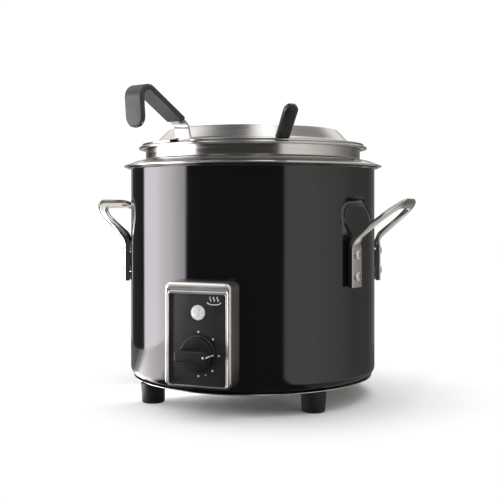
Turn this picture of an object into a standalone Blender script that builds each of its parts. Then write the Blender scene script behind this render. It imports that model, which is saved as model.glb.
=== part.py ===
"""Round soup kettle: a black shell with a steel water pan, a lift-out inset with a
two-piece hinged lid, a hooked ladle, two riveted handles and a control box.

Metres, +Z up. The origin is the centre of the base plate's flat underside, the
control box faces -Y and the handles are on +X and -X. An azimuth is measured from
-Y towards +X.
"""

from math import atan2, cos, pi, radians, sin, tan

import bmesh
import bpy
from mathutils import Matrix, Vector

# ---- clearances and sheet ----
GAP = 0.0003            # between solids that touch
AROUND = 36             # facets around a large turned piece
AROUND_SMALL = 12       # facets around a small turned piece
SMALL_R = 0.0026        # corners up to this radius are one facet
CUT = 0.060             # length of a cutter that passes right through

# ---- shell and base ----
SHELL_R = 0.154         # outer radius of the shell
SHELL_WALL = 0.0012
SHELL_TOP_Z = 0.2607     # top of the shell's outward flange
SHELL_FLANGE = 0.0045   # flange beyond the shell
SHELL_CORNER_R = 0.0105
SHELL_FLOOR_Z = 0.0035  # underside of the shell's turned-in bottom edge
SHELL_LIP = 0.0114      # width of that edge
BASE_WALL = 0.0012
BASE_DISC_R = 0.090     # embossed disc in the middle of the base plate
BASE_RISE = 0.002       # the disc stands this far below the rest of the plate
SEAM_INSET = 0.004      # bright seam ring in from the shell
SEAM_LAP = 0.003        # ring and base plate end this far outside the shell's lip
SEAM_BULGE = 0.0004

# ---- feet ----
FOOT_COUNT = 4
FOOT_INSET = 0.016      # foot axes in from the shell
FOOT_FIRST_AZ = 50.6
FOOT_TOP_R = 0.015
FOOT_END_R = 0.0135
FOOT_HEIGHT = 0.0218    # below the base plate's disc
FOOT_POCKET_R = 0.0055
FOOT_POCKET_DEPTH = 0.011
FOOT_EDGE_R = 0.0018
SCREW_R = 0.002
SCREW_HEAD_R = 0.0042
SCREW_HEAD_H = 0.0028
SCREW_FIT = 0.0004      # clearance around a screw or rivet
SCREW_SPARE = 0.002     # end of a screw beyond its nut
NUT_R = 0.004
NUT_H = 0.0032

# ---- water pan ----
PAN_WALL = 0.001
PAN_JACKET = 0.0206     # from the shell in to the well
PAN_FLOOR_Z = 0.0487     # upper face of the well's floor
PAN_OVERHANG = 0.0086   # rim beyond the shell
PAN_RIM_RISE = 0.009    # crest of the rim above the shell
PAN_CREST_INSET = 0.013 # crest in from the shell
PAN_HEM = 0.005
PAN_CORNER_R = 0.010
PAN_EDGE_H = 0.0022     # rim's upright edge, above the shell
PAN_FALL = 0.0012       # from the crest to where the rim starts to slope
PAN_FALL_WIDTH = 0.006
PAN_CREST_FLAT = 0.002  # flat part of the crest, inside it

# ---- insulation and heater ----
WOOL_CLEARANCE = 0.002  # to the pan
WOOL_THICK = 0.0105
WOOL_BOTTOM_Z = 0.0757
WOOL_TOP_DROP = 0.014   # below the top of the shell
ELEMENT_RING_R = 0.085
ELEMENT_R = 0.004
ELEMENT_SPAN = 318      # degrees of ring
ELEMENT_TAIL = 0.014
HEATER_PLATE_R = 0.105
HEATER_PLATE_WALL = 0.0012
STUD_R = 0.003
STUD_NUT_R = 0.0065
STUD_NUT_H = 0.004
STUD_SPARE = 0.003
BULB_R = 0.003
BULB_LENGTH = 0.060
BULB_Y = -0.040
CAPILLARY_DROP = 0.018    # below the bulb, under the heater plate
CAPILLARY_R = 0.001
LEAD_R = 0.0014
LEAD_CLEARANCE = 0.003    # to the pan's wall
LEAD_RISE = 0.006         # above the foot nuts
LEAD_STEPS = 13

# ---- inset ----
INSET_WALL = 0.0009
INSET_CLEARANCE = 0.0032  # to the well
INSET_DEPTH = 0.1941      # below its shoulder
INSET_SHOULDER = 0.0056   # step from the wall out to the neck
INSET_NECK_H = 0.0153
INSET_LIP = 0.0096        # lip beyond the neck's inside
INSET_LIP_H = 0.003
INSET_CORNER_R = 0.009
INSET_HEM = 0.0022
INSET_EDGE_R = 0.0012

# ---- lid ----
LID_WALL = 0.0012
LID_INSIDE_LIP = 0.004    # lid edge in from the inset's lip
LID_EDGE_H = 0.0034
LID_HEM = 0.004
LID_EDGE_R = 0.0012
CROWN_FOOT_INSET = 0.0185  # in from the lid's edge
CROWN_FOOT_RISE = 0.0059  # above the lid's underside
CROWN_SLOPE = 0.015       # width of the crown's slope
CROWN_RISE = 0.0213
CROWN_CORNER_R = 0.004
LID_SPLIT = 0.0008        # gap between the two halves
FLAP_AZ = 34.4            # the flap opens away from this side
NOTCH_TURN = 0.4          # notch round from the ladle, for the opening flap
NOTCH_CLEARANCE = 0.005   # on each side of the ladle's strap
HINGE_PIN_R = 0.0015
HINGE_BARREL_R = 0.00325
HINGE_END = 0.009         # hinge's ends in from the crown's edge
HINGE_LEAF_WIDTH = 0.013
HINGE_LEAF_WALL = 0.0012
HINGE_KNUCKLES = 5
HINGE_KNUCKLE_GAP = 0.0005
HINGE_PIN_FIT = 0.0003
HINGE_SETBACK = 0.0008     # leaf clear of the barrel
HINGE_TAB = 0.002          # strip that joins a barrel to its leaf
HINGE_PIN_SPARE = 0.001

# ---- flap lever ----
LEVER_WIDTH = 0.010
LEVER_WALL = 0.002
LEVER_FOOT = 0.014        # stretch lying on the flap
LEVER_SLOPE = 39
LEVER_BEND_R = 0.004
LEVER_INSET = 0.0015      # its bend in from the lid's edge
LEVER_LENGTH = 0.0455
LEVER_GRIP_LENGTH = 0.0505
LEVER_GRIP_WIDTH = 0.0165
LEVER_GRIP_THICK = 0.0085
LEVER_GRIP_TIP = 0.004    # grip beyond the stem's end
LEVER_RIVET_R = 0.0016
LEVER_RIVET_HEAD_R = 0.0028
LEVER_RIVET_HEAD_H = 0.0017
LEVER_RIVET_TAIL = 0.0018
LEVER_RIVET_SHARES = (0.36, 0.82)  # places along the foot

# ---- ladle ----
LADLE_AZ = -17.1
LADLE_INSIDE_LID = 0.0105 # where the strap passes the lid, in from its edge
LADLE_TILT = 16           # of the neck, from upright
LADLE_WIDTH = 0.0225
LADLE_WALL = 0.0023
LADLE_BOWL_R = 0.0445
LADLE_BOWL_DEPTH = 0.035
LADLE_BOWL_WALL = 0.0015
LADLE_FLOOR_GAP = 0.004   # bowl above the inset's floor
LADLE_BEND_RISE = 0.0202  # bend above the lid's underside
LADLE_REACH = 0.0778       # from the bend out to the hook
LADLE_REACH_RISE = 0.0454
LADLE_HOOK_DROP = 0.050
LADLE_HOOK_LEAN = 0.004
LADLE_HOOK_R = 0.011
LADLE_BEND_R = 0.014
LADLE_GRIP_WIDTH = 0.027
LADLE_GRIP_THICK = 0.0065
LADLE_GRIP_TIP = 0.004    # rubber beyond the strap's end
LADLE_GRIP_START = 0.010  # bare strap beyond the bend
LADLE_GRIP_SPARE = 0.006  # how far its pocket runs on along the strap
LADLE_END_DROP = 0.006    # strap's low end below the bowl's rim
LADLE_BOWL_GAP = 0.0022   # bowl to strap
GRIP_ROUND = 0.42         # corner radius of a grip as a share of its thickness

# ---- control box ----
BOX_WIDTH = 0.079
BOX_BOTTOM_Z = 0.0137
BOX_HEIGHT = 0.1155
BOX_FRONT = 0.022         # bezel face beyond the shell
BOX_WALL = 0.0015
BOX_CORNER_R = 0.007
BEZEL_DEPTH = 0.004
BEZEL_SOFT = 0.0014
PANEL_WIDTH = 0.068       # visible part of the panel
PANEL_HEIGHT = 0.100
PANEL_BOTTOM_Z = 0.0162
PANEL_WALL = 0.002
PANEL_LAP = 0.002         # hidden edge behind the bezel
PANEL_LOW_TRIM = 0.001    # cut off the panel's lower hidden edge
PANEL_CORNER_R = 0.005
OPENING_CORNER_R = 0.003
DIAL_Z = 0.0504
PILOT_Z = 0.0959
PILOT_R = 0.0084
PILOT_DOME = 0.0025
PILOT_STEM_R = 0.006
PILOT_BODY_R = 0.0078
PILOT_BODY_LENGTH = 0.008
PILOT_TAIL = 0.003        # stem behind the panel
WINDOW_WIDTH = 0.050      # opening in the shell behind the box
WINDOW_HEIGHT = 0.086
WINDOW_BOTTOM_Z = 0.0277
THERMOSTAT_SIZE = (0.036, 0.034, 0.020)
THERMOSTAT_CORNER_R = 0.003
SHAFT_R = 0.003
SHAFT_LENGTH = 0.016
SHAFT_FIT = 0.0005        # hole in the panel around the thermostat's bush
BUSH_R = 0.005
BUSH_NUT_R = 0.008
BUSH_NUT_H = 0.0022

# ---- knob ----
KNOB_SKIRT_R = 0.0208
KNOB_SKIRT_H = 0.0025
KNOB_R = 0.019
KNOB_FACE = 0.0095        # face above the panel
KNOB_BAR_WIDTH = 0.0116
KNOB_BAR_TOP = 0.024
KNOB_BAR_SINK = 0.003     # bar's root inside the body
KNOB_BAR_INSET = 0.0005   # bar's ends in from the body
KNOB_BAR_CORNER_R = 0.0035
KNOB_FIT = 0.00005        # knob's bore beyond the usual gap
KNOB_POCKET_R = 0.0105
KNOB_POCKET_DEPTH = 0.005
KNOB_LIFT = 0.0006        # above the panel
POINTER_LENGTH = 0.008
POINTER_WIDTH = 0.0016
POINTER_DEPTH = 0.001
POINTER_INSET = 0.002     # from the bar's end

# ---- cord gland ----
GLAND_Z = 0.0337
GLAND_R = 0.008
GLAND_FLANGE_R = 0.0115
GLAND_FLANGE_H = 0.004
GLAND_BORE_R = 0.0042
GLAND_TAIL = 0.006        # inside the shell

# ---- handles ----
LEG_AZ = 21.3             # each leg from the handle's middle
LEG_WIDTH = 0.020
LEG_BOTTOM_Z = 0.1187
LEG_BEND_Z = 0.1641
LEG_FLAT = 0.010          # straight leg below the bend
LEG_STAND = 0.008         # outer face beyond the shell
LEG_BEND_R = 0.016
ARM_SLOPE = 40
GRIP_REACH = 0.0455       # outer face of the grip beyond the shell
GRIP_WIDTH = 0.0155
GRIP_CORNER_R = 0.036
CHANNEL_DEPTH = 0.0062
CHANNEL_WALL = 0.0016
CHANNEL_ROUND = 0.0022
HANDLE_STEPS = 5          # stations around each bend
HANDLE_TAPER = 0.45       # share of the narrowing done by the bend
RIVET_ZS = (0.1312, 0.1564)
RIVET_R = 0.0024
RIVET_HEAD_R = 0.00525
RIVET_HEAD_H = 0.003
RIVET_TAIL = 0.003        # shank inside the shell

# ---- worked out from the values above ----
SHELL_FLANGE_R = SHELL_R + SHELL_FLANGE
SHELL_LIP_R = SHELL_R - SHELL_LIP
SEAM_R = SHELL_R - SEAM_INSET
FOOT_CIRCLE_R = SHELL_R - FOOT_INSET
PAN_WELL_R = SHELL_R - PAN_JACKET
PAN_RIM_R = SHELL_R + PAN_OVERHANG
PAN_CREST_R = SHELL_R - PAN_CREST_INSET
PAN_CREST_Z = SHELL_TOP_Z + GAP + PAN_RIM_RISE
INSET_R = PAN_WELL_R - INSET_CLEARANCE - INSET_WALL
INSET_SHOULDER_Z = PAN_CREST_Z + GAP + INSET_WALL
INSET_FLOOR_Z = INSET_SHOULDER_Z - INSET_DEPTH
INSET_NECK_R = INSET_R + INSET_SHOULDER
INSET_LIP_R = INSET_NECK_R + INSET_LIP
INSET_TOP_Z = INSET_SHOULDER_Z + INSET_NECK_H
LID_Z = INSET_TOP_Z + GAP
LID_R = INSET_LIP_R - LID_INSIDE_LIP
CROWN_FOOT_R = LID_R - CROWN_FOOT_INSET
CROWN_R = CROWN_FOOT_R - CROWN_SLOPE
HINGE_LENGTH = 2 * (CROWN_R - HINGE_END)
LADLE_CROSS_R = LID_R - LADLE_INSIDE_LID
NOTCH_AZ = LADLE_AZ + NOTCH_TURN
NOTCH_WIDTH = LADLE_WIDTH + 2 * NOTCH_CLEARANCE
CROWN_Z = LID_Z + CROWN_RISE
HINGE_Z = CROWN_Z + GAP + HINGE_BARREL_R
BOX_FRONT_R = SHELL_R + BOX_FRONT
PANEL_FRONT_R = BOX_FRONT_R - BEZEL_DEPTH - GAP
FOOT_TOP_Z = BASE_RISE - GAP


# ---- materials ----
def material(name, colour, roughness, metallic=0.0):
    made = bpy.data.materials.new(name)
    made.use_nodes = True
    shader = made.node_tree.nodes["Principled BSDF"]
    shader.inputs["Base Color"].default_value = (*colour, 1.0)
    shader.inputs["Roughness"].default_value = roughness
    shader.inputs["Metallic"].default_value = metallic
    return made


# ---- outlines ----
def rounded(points, steps=3):
    """A path through (a, b) points; a third number rounds that corner."""
    path = []
    for i, point in enumerate(points):
        here = Vector(point[:2])
        if len(point) < 3 or i in (0, len(points) - 1):
            path.append(here)
            continue
        back = (Vector(points[i - 1][:2]) - here).normalized()
        onward = (Vector(points[i + 1][:2]) - here).normalized()
        half = back.angle(onward) / 2
        reach = point[2] / tan(half)
        centre = here + (back + onward).normalized() * (point[2] / sin(half))
        start = here + back * reach - centre
        turn = start.angle_signed(here + onward * reach - centre)
        count = steps if point[2] > SMALL_R else 1
        for k in range(count + 1):
            path.append(centre + start @ Matrix.Rotation(turn * k / count, 2))
    return path


def offset(path, distance):
    """The path moved to its left, with mitred corners."""
    moved = []
    for i, here in enumerate(path):
        ahead = (path[min(i + 1, len(path) - 1)] - path[min(i, len(path) - 2)]).normalized()
        behind = (path[max(i, 1)] - path[max(i - 1, 0)]).normalized()
        side = Vector((-ahead.y - behind.y, ahead.x + behind.x)).normalized()
        stretch = max(side.dot(Vector((-ahead.y, ahead.x))), 0.3)
        moved.append(here + side * (distance / stretch))
    return moved


def inner_points(points, wall):
    """The corners of the sheet's left face, with the corner radii that suit it."""
    corners = [Vector(p[:2]) for p in points]
    moved = offset(corners, wall)
    result = []
    for i, point in enumerate(points):
        radius = 0
        if len(point) == 3 and 0 < i < len(points) - 1:
            turn = (corners[i] - corners[i - 1]).angle_signed(corners[i + 1] - corners[i])
            radius = point[2] + (wall if turn > 0 else -wall)
        result.append((*moved[i], radius) if radius > 0.0001 else tuple(moved[i]))
    return result


def sheet(points, wall, steps=3):
    """Closed outline of a sheet whose wall lies left of the path."""
    return rounded(points, steps) + rounded(inner_points(points, wall), steps)[::-1]


def rounded_box(width, height, radius, steps=3):
    """Closed rounded rectangle about the origin."""
    ring = []
    for k in range(4):
        sign = Vector(((1, -1, -1, 1)[k], (1, 1, -1, -1)[k]))
        middle = Vector((sign.x * (width / 2 - radius), sign.y * (height / 2 - radius)))
        for j in range(steps + 1):
            angle = (k + j / steps) * pi / 2
            ring.append(middle + radius * Vector((cos(angle), sin(angle))))
    return ring


# ---- solids ----
def solid(name, verts, faces, skin, parent=None):
    """One closed body with its faces pointing out."""
    mesh = bpy.data.meshes.new(name)
    mesh.from_pydata([tuple(v) for v in verts], [], faces)
    work = bmesh.new()
    work.from_mesh(mesh)
    bmesh.ops.recalc_face_normals(work, faces=work.faces)
    if work.calc_volume(signed=True) < 0:
        bmesh.ops.reverse_faces(work, faces=work.faces)
    work.to_mesh(mesh)
    work.free()
    mesh.shade_smooth()
    mesh.set_sharp_from_angle(angle=radians(35))
    piece = bpy.data.objects.new(name, mesh)
    bpy.context.scene.collection.objects.link(piece)
    if skin:
        mesh.materials.append(skin)
    piece.parent = parent
    return piece


def turned(name, outline, skin, sides=AROUND, parent=None):
    """A closed (radius, height) outline turned about local Z."""
    verts, rings, faces = [], [], []
    for radius, height in outline:
        if radius < 1e-6:
            rings.append([len(verts)] * sides)
            verts.append((0, 0, height))
            continue
        rings.append(list(range(len(verts), len(verts) + sides)))
        for k in range(sides):
            angle = 2 * pi * k / sides
            verts.append((radius * cos(angle), radius * sin(angle), height))
    for i, lower in enumerate(rings):
        upper = rings[(i + 1) % len(rings)]
        for k in range(sides):
            j = (k + 1) % sides
            corners = list(dict.fromkeys((lower[k], lower[j], upper[j], upper[k])))
            if len(corners) > 2:
                faces.append(corners)
    return solid(name, verts, faces, skin, parent)


def lofted(name, rings, skin, parent=None):
    """Rings of equal length joined in a row, with both ends capped."""
    count = len(rings[0])
    verts = [v for ring in rings for v in ring]
    faces = [list(range(count))[::-1], list(range(len(verts) - count, len(verts)))]
    for i in range(len(rings) - 1):
        for k in range(count):
            j = (k + 1) % count
            a, b = i * count, (i + 1) * count
            faces.append([a + k, a + j, b + j, b + k])
    return solid(name, verts, faces, skin, parent)


def plate(name, ring, low, high, skin, parent=None):
    """A closed (x, y) outline between two heights of local Z."""
    return lofted(name, [[Vector((*p, z)) for p in ring] for z in (low, high)], skin, parent)


def block(name, size, middle, skin, parent=None, radius=0.0):
    """A box about its middle, with its edges along local Z rounded."""
    if radius:
        ring = rounded_box(size[0], size[1], radius)
    else:
        ring = [Vector((sx * size[0] / 2, sy * size[1] / 2))
                for sx, sy in ((1, 1), (-1, 1), (-1, -1), (1, -1))]
    ring = [p + Vector(middle[:2]) for p in ring]
    return plate(name, ring, middle[2] - size[2] / 2, middle[2] + size[2] / 2, skin, parent)


def strap(name, path, section, skin, parent=None):
    """A closed (across, out) section swept along a path in local XZ."""
    rings = []
    for i, here in enumerate(path):
        ahead = (path[min(i + 1, len(path) - 1)] - path[min(i, len(path) - 2)]).normalized()
        behind = (path[max(i, 1)] - path[max(i - 1, 0)]).normalized()
        side = Vector((-ahead.y - behind.y, ahead.x + behind.x)).normalized()
        stretch = side.dot(Vector((-ahead.y, ahead.x)))
        rings.append([Vector((here.x + side.x * p.y / stretch, p.x,
                              here.y + side.y * p.y / stretch)) for p in section])
    return lofted(name, rings, skin, parent)


def tube(name, points, radius, skin, sides=6):
    """A round wire along a list of places, with mitred bends."""
    places = [Vector(p) for p in points]
    across = Vector((0.2, 0.3, 1))
    rings = []
    for i, here in enumerate(places):
        ahead = (places[min(i + 1, len(places) - 1)] - places[min(i, len(places) - 2)]).normalized()
        behind = (places[max(i, 1)] - places[max(i - 1, 0)]).normalized()
        along = (ahead + behind).normalized()
        across = (across - along * across.dot(along)).normalized()
        other = along.cross(across)
        rings.append([here + radius * (cos(2 * pi * k / sides) * across
                                       + sin(2 * pi * k / sides) * other)
                      for k in range(sides)])
    return lofted(name, rings, skin)


def cut(piece, tool):
    """Take a hidden cutter away from a piece."""
    tool.hide_render = True
    tool.display_type = "WIRE"
    step = piece.modifiers.new("cut " + tool.name, "BOOLEAN")
    step.operation = "DIFFERENCE"
    step.solver = "EXACT"
    step.object = tool


def join(piece, other):
    """Weld a hidden helper onto a piece."""
    cut(piece, other)
    piece.modifiers[-1].operation = "UNION"


def rod(name, radius, low, high, skin=None, parent=None, sides=AROUND_SMALL):
    """A plain cylinder along local Z."""
    return turned(name, [(0, low), (radius, low), (radius, high), (0, high)], skin, sides, parent)


def hex_nut(name, bolt_r, outer_r, low, high, skin, parent=None):
    """A nut whose flat-sided bore clears a round bolt."""
    bore = (bolt_r + GAP) / cos(pi / 6)
    return turned(name, [(bore, low), (outer_r, low), (outer_r, high), (bore, high)], skin, 6, parent)


# ---- places ----
def direction(azimuth):
    """Level unit vector at an azimuth."""
    return Vector((sin(radians(azimuth)), -cos(radians(azimuth)), 0))


def guide(name, place, azimuth, tip_out=False):
    """An empty whose X, or whose Z when it tips out, points along the azimuth."""
    made = bpy.data.objects.new(name, None)
    bpy.context.scene.collection.objects.link(made)
    made.location = place
    spin = Matrix.Rotation(radians(azimuth - 90), 4, "Z")
    if tip_out:
        spin = spin @ Matrix.Rotation(pi / 2, 4, "Y") @ Matrix.Rotation(pi / 2, 4, "Z")
    made.rotation_euler = spin.to_euler()
    return made


# ---- body ----
def make_shell(skins):
    shell = turned("outer_shell", sheet([
        (SHELL_LIP_R, SHELL_FLOOR_Z),
        (SHELL_R, SHELL_FLOOR_Z, SHELL_CORNER_R),
        (SHELL_R, SHELL_TOP_Z - SHELL_WALL),
        (SHELL_FLANGE_R, SHELL_TOP_Z - SHELL_WALL),
    ], SHELL_WALL), skins["enamel"])
    cut(shell, block("window_cutter", (WINDOW_WIDTH, CUT, WINDOW_HEIGHT),
                     (0, -SHELL_R, WINDOW_BOTTOM_Z + WINDOW_HEIGHT / 2), None))
    gland_hole = rod("gland_cutter", GLAND_R + SCREW_FIT, -CUT / 2, CUT / 2)
    gland_hole.parent = guide("gland_axis", (0, SHELL_R, GLAND_Z), 180, tip_out=True)
    cut(shell, gland_hole)
    seam_in = SHELL_LIP_R + SEAM_LAP
    turned("seam_ring", [(seam_in, BASE_RISE), (SEAM_R, BASE_RISE),
                         (SEAM_R + SEAM_BULGE, (BASE_RISE + SHELL_FLOOR_Z) / 2),
                         (SEAM_R, SHELL_FLOOR_Z - GAP), (seam_in, SHELL_FLOOR_Z - GAP)],
           skins["steel"])
    return shell


def make_base(skins):
    rim = SHELL_LIP_R + SEAM_LAP - GAP
    base = turned("base_plate", sheet([
        (0, 0), (BASE_DISC_R, 0), (BASE_DISC_R + BASE_RISE, BASE_RISE), (rim, BASE_RISE),
    ], BASE_WALL), skins["steel"])
    for k in range(FOOT_COUNT):
        azimuth = FOOT_FIRST_AZ + k * 360 / FOOT_COUNT
        at = guide(f"foot_axis_{k + 1}", direction(azimuth) * FOOT_CIRCLE_R, azimuth)
        cut(base, rod(f"foot_cutter_{k + 1}", SCREW_R + SCREW_FIT, -CUT / 4, CUT / 4, None, at))
        make_foot(k + 1, at, skins)


def make_foot(number, at, skins):
    pocket_z = -FOOT_HEIGHT + FOOT_POCKET_DEPTH
    plate_top = BASE_RISE + BASE_WALL
    turned(f"foot_{number}", rounded([
        (FOOT_POCKET_R, -FOOT_HEIGHT), (FOOT_END_R, -FOOT_HEIGHT, FOOT_EDGE_R),
        (FOOT_TOP_R, FOOT_TOP_Z - 0.0005), (FOOT_TOP_R - 0.0005, FOOT_TOP_Z),
        (SCREW_R + SCREW_FIT, FOOT_TOP_Z), (SCREW_R + SCREW_FIT, pocket_z),
        (FOOT_POCKET_R, pocket_z),
    ], 2), skins["rubber"], 16, at)
    head_top = pocket_z - GAP
    turned(f"foot_screw_{number}", [
        (0, head_top - SCREW_HEAD_H), (SCREW_HEAD_R, head_top - SCREW_HEAD_H), (SCREW_HEAD_R, head_top),
        (SCREW_R, head_top), (SCREW_R, plate_top + NUT_H + SCREW_SPARE),
        (0, plate_top + NUT_H + SCREW_SPARE),
    ], skins["steel"], 8, at)
    hex_nut(f"foot_nut_{number}", SCREW_R, NUT_R, plate_top + GAP, plate_top + GAP + NUT_H,
            skins["steel"], at)


def make_pan(skins):
    turned("water_pan", sheet([
        (PAN_RIM_R - PAN_HEM, SHELL_TOP_Z + GAP),
        (PAN_RIM_R, SHELL_TOP_Z + GAP, 0.0009),
        (PAN_RIM_R, SHELL_TOP_Z + PAN_EDGE_H, 0.001),
        (PAN_CREST_R + PAN_FALL_WIDTH, PAN_CREST_Z - PAN_FALL, 0.010),
        (PAN_CREST_R - PAN_CREST_FLAT, PAN_CREST_Z, 0.006),
        (PAN_WELL_R, PAN_CREST_Z, 0.0022),
        (PAN_WELL_R, PAN_FLOOR_Z, PAN_CORNER_R),
        (0, PAN_FLOOR_Z),
    ], PAN_WALL, 2), skins["steel"])


def make_insulation(skins):
    inner = PAN_WELL_R + PAN_WALL + WOOL_CLEARANCE
    top = SHELL_TOP_Z - WOOL_TOP_DROP
    turned("insulation", [(inner, WOOL_BOTTOM_Z), (inner + WOOL_THICK, WOOL_BOTTOM_Z),
                          (inner + WOOL_THICK, top), (inner, top)], skins["wool"], 32)


def make_heater(skins):
    under_pan = PAN_FLOOR_Z - PAN_WALL
    ring_z = under_pan - GAP - ELEMENT_R
    count = 24
    places = []
    for k in range(count + 1):
        angle = radians(90 + (360 - ELEMENT_SPAN) / 2 + ELEMENT_SPAN * k / count)
        places.append(Vector((ELEMENT_RING_R * cos(angle), ELEMENT_RING_R * sin(angle), ring_z)))
    outward = Vector((0, 1, 0)) * ELEMENT_TAIL
    places = [places[0] + outward] + places + [places[-1] + outward]
    tube("heater_element", places, ELEMENT_R, skins["element"])
    plate_top = ring_z - ELEMENT_R - GAP
    hole = STUD_R + SCREW_FIT
    turned("heater_plate", sheet([
        (hole, plate_top - HEATER_PLATE_WALL), (HEATER_PLATE_R, plate_top - HEATER_PLATE_WALL),
    ], HEATER_PLATE_WALL), skins["steel"], 32)
    nut_top = plate_top - HEATER_PLATE_WALL - GAP
    rod("heater_stud", STUD_R, nut_top - STUD_NUT_H - STUD_SPARE, under_pan - GAP, skins["steel"])
    hex_nut("heater_nut", STUD_R, STUD_NUT_R, nut_top - STUD_NUT_H, nut_top, skins["steel"])


# ---- controls ----
def make_control_box(skins):
    """Local X is +X, local Y is up and local Z points out, towards -Y."""
    at = guide("box_axis", (0, 0, 0), 0, tip_out=True)
    middle_z = BOX_BOTTOM_Z + BOX_HEIGHT / 2
    outer = rounded_box(BOX_WIDTH, BOX_HEIGHT, BOX_CORNER_R)
    lift = Vector((0, middle_z))
    outer = [p + lift for p in outer]
    box_end = BOX_FRONT_R - BEZEL_DEPTH - GAP
    housing = plate("control_housing", outer, SHELL_R * 0.92, box_end, skins["bright"], at)
    inner = rounded_box(BOX_WIDTH - 2 * BOX_WALL, BOX_HEIGHT - 2 * BOX_WALL, BOX_CORNER_R - BOX_WALL)
    cut(housing, plate("housing_bore_cutter", [p + lift for p in inner],
                       SHELL_R * 0.8, BOX_FRONT_R + CUT / 4, None, at))
    cut(housing, rod("housing_shell_cutter", SHELL_R + GAP, 0, SHELL_TOP_Z, sides=AROUND))
    bezel = plate("bezel", outer, BOX_FRONT_R - BEZEL_DEPTH, BOX_FRONT_R, skins["bright"], at)
    soften = bezel.modifiers.new("soft front", "BEVEL")
    soften.width = BEZEL_SOFT
    soften.segments = 2
    soften.limit_method = "ANGLE"
    soften.angle_limit = radians(60)
    panel_z = PANEL_BOTTOM_Z + PANEL_HEIGHT / 2
    cut(bezel, block("bezel_cutter", (PANEL_WIDTH, PANEL_HEIGHT, CUT), (0, panel_z, BOX_FRONT_R),
                     None, at, OPENING_CORNER_R))
    panel = block("control_panel",
                  (PANEL_WIDTH + 2 * PANEL_LAP, PANEL_HEIGHT + 2 * PANEL_LAP - PANEL_LOW_TRIM, PANEL_WALL),
                  (0, panel_z + PANEL_LOW_TRIM / 2, PANEL_FRONT_R - PANEL_WALL / 2),
                  skins["panel"], at, PANEL_CORNER_R)
    for name, radius, z in (("bush", BUSH_R, DIAL_Z), ("pilot", PILOT_STEM_R, PILOT_Z)):
        hole = rod(name + "_cutter", radius + SHAFT_FIT, PANEL_FRONT_R - CUT / 4, PANEL_FRONT_R + CUT / 4,
                   None, at)
        hole.location = (0, z, 0)
        cut(panel, hole)
    return at


def make_pilot(skins, at):
    seat = PANEL_FRONT_R + GAP
    stem = PANEL_FRONT_R - PANEL_WALL - PILOT_TAIL
    lens = turned("pilot_lens", [
        (0, stem), (PILOT_STEM_R, stem), (PILOT_STEM_R, seat), (PILOT_R, seat),
        (PILOT_R, seat + PILOT_DOME * 0.4), (PILOT_R * 0.7, seat + PILOT_DOME * 0.85),
        (0, seat + PILOT_DOME),
    ], skins["lens"], 20, at)
    lens.location = (0, PILOT_Z, 0)
    body = rod("pilot_body", PILOT_BODY_R, stem - GAP - PILOT_BODY_LENGTH, stem - GAP,
               skins["dark"], at)
    body.location = (0, PILOT_Z, 0)


def make_thermostat(skins, at):
    back = PANEL_FRONT_R - PANEL_WALL
    width, height, depth = THERMOSTAT_SIZE
    body = block("thermostat_body", THERMOSTAT_SIZE, (0, 0, back - GAP - depth / 2),
                 skins["dark"], at, THERMOSTAT_CORNER_R)
    body.location = (0, DIAL_Z, 0)
    inside = SHAFT_R + GAP
    nut = turned("thermostat_nut", [
        (inside, back + GAP), (BUSH_R, back + GAP), (BUSH_R, PANEL_FRONT_R + GAP),
        (BUSH_NUT_R, PANEL_FRONT_R + GAP), (BUSH_NUT_R, PANEL_FRONT_R + GAP + BUSH_NUT_H),
        (inside, PANEL_FRONT_R + GAP + BUSH_NUT_H),
    ], skins["steel"], 12, at)
    nut.location = (0, DIAL_Z, 0)
    shaft = rod("thermostat_shaft", SHAFT_R, back + GAP, back + GAP + SHAFT_LENGTH, skins["brass"],
                at, 12)
    shaft.location = (0, DIAL_Z, 0)

    bulb_z = PAN_FLOOR_Z - PAN_WALL - GAP - BULB_R
    tube("thermostat_bulb", [(-BULB_LENGTH / 2, BULB_Y, bulb_z), (BULB_LENGTH / 2, BULB_Y, bulb_z)],
         BULB_R, skins["brass"])
    enter = PANEL_FRONT_R - PANEL_WALL - 2 * GAP - depth
    low = bulb_z - BULB_R - CAPILLARY_DROP
    tube("capillary_tube", [
        (0, -HEATER_PLATE_R - 0.008, low), (0, -HEATER_PLATE_R - 0.020, low + 0.001),
        (0, -enter + 0.010, low + 0.006), (0, -enter + 0.004, low + 0.012),
        (0, -enter + 0.0006, low + 0.0155),
    ], CAPILLARY_R, skins["brass"])


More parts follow.
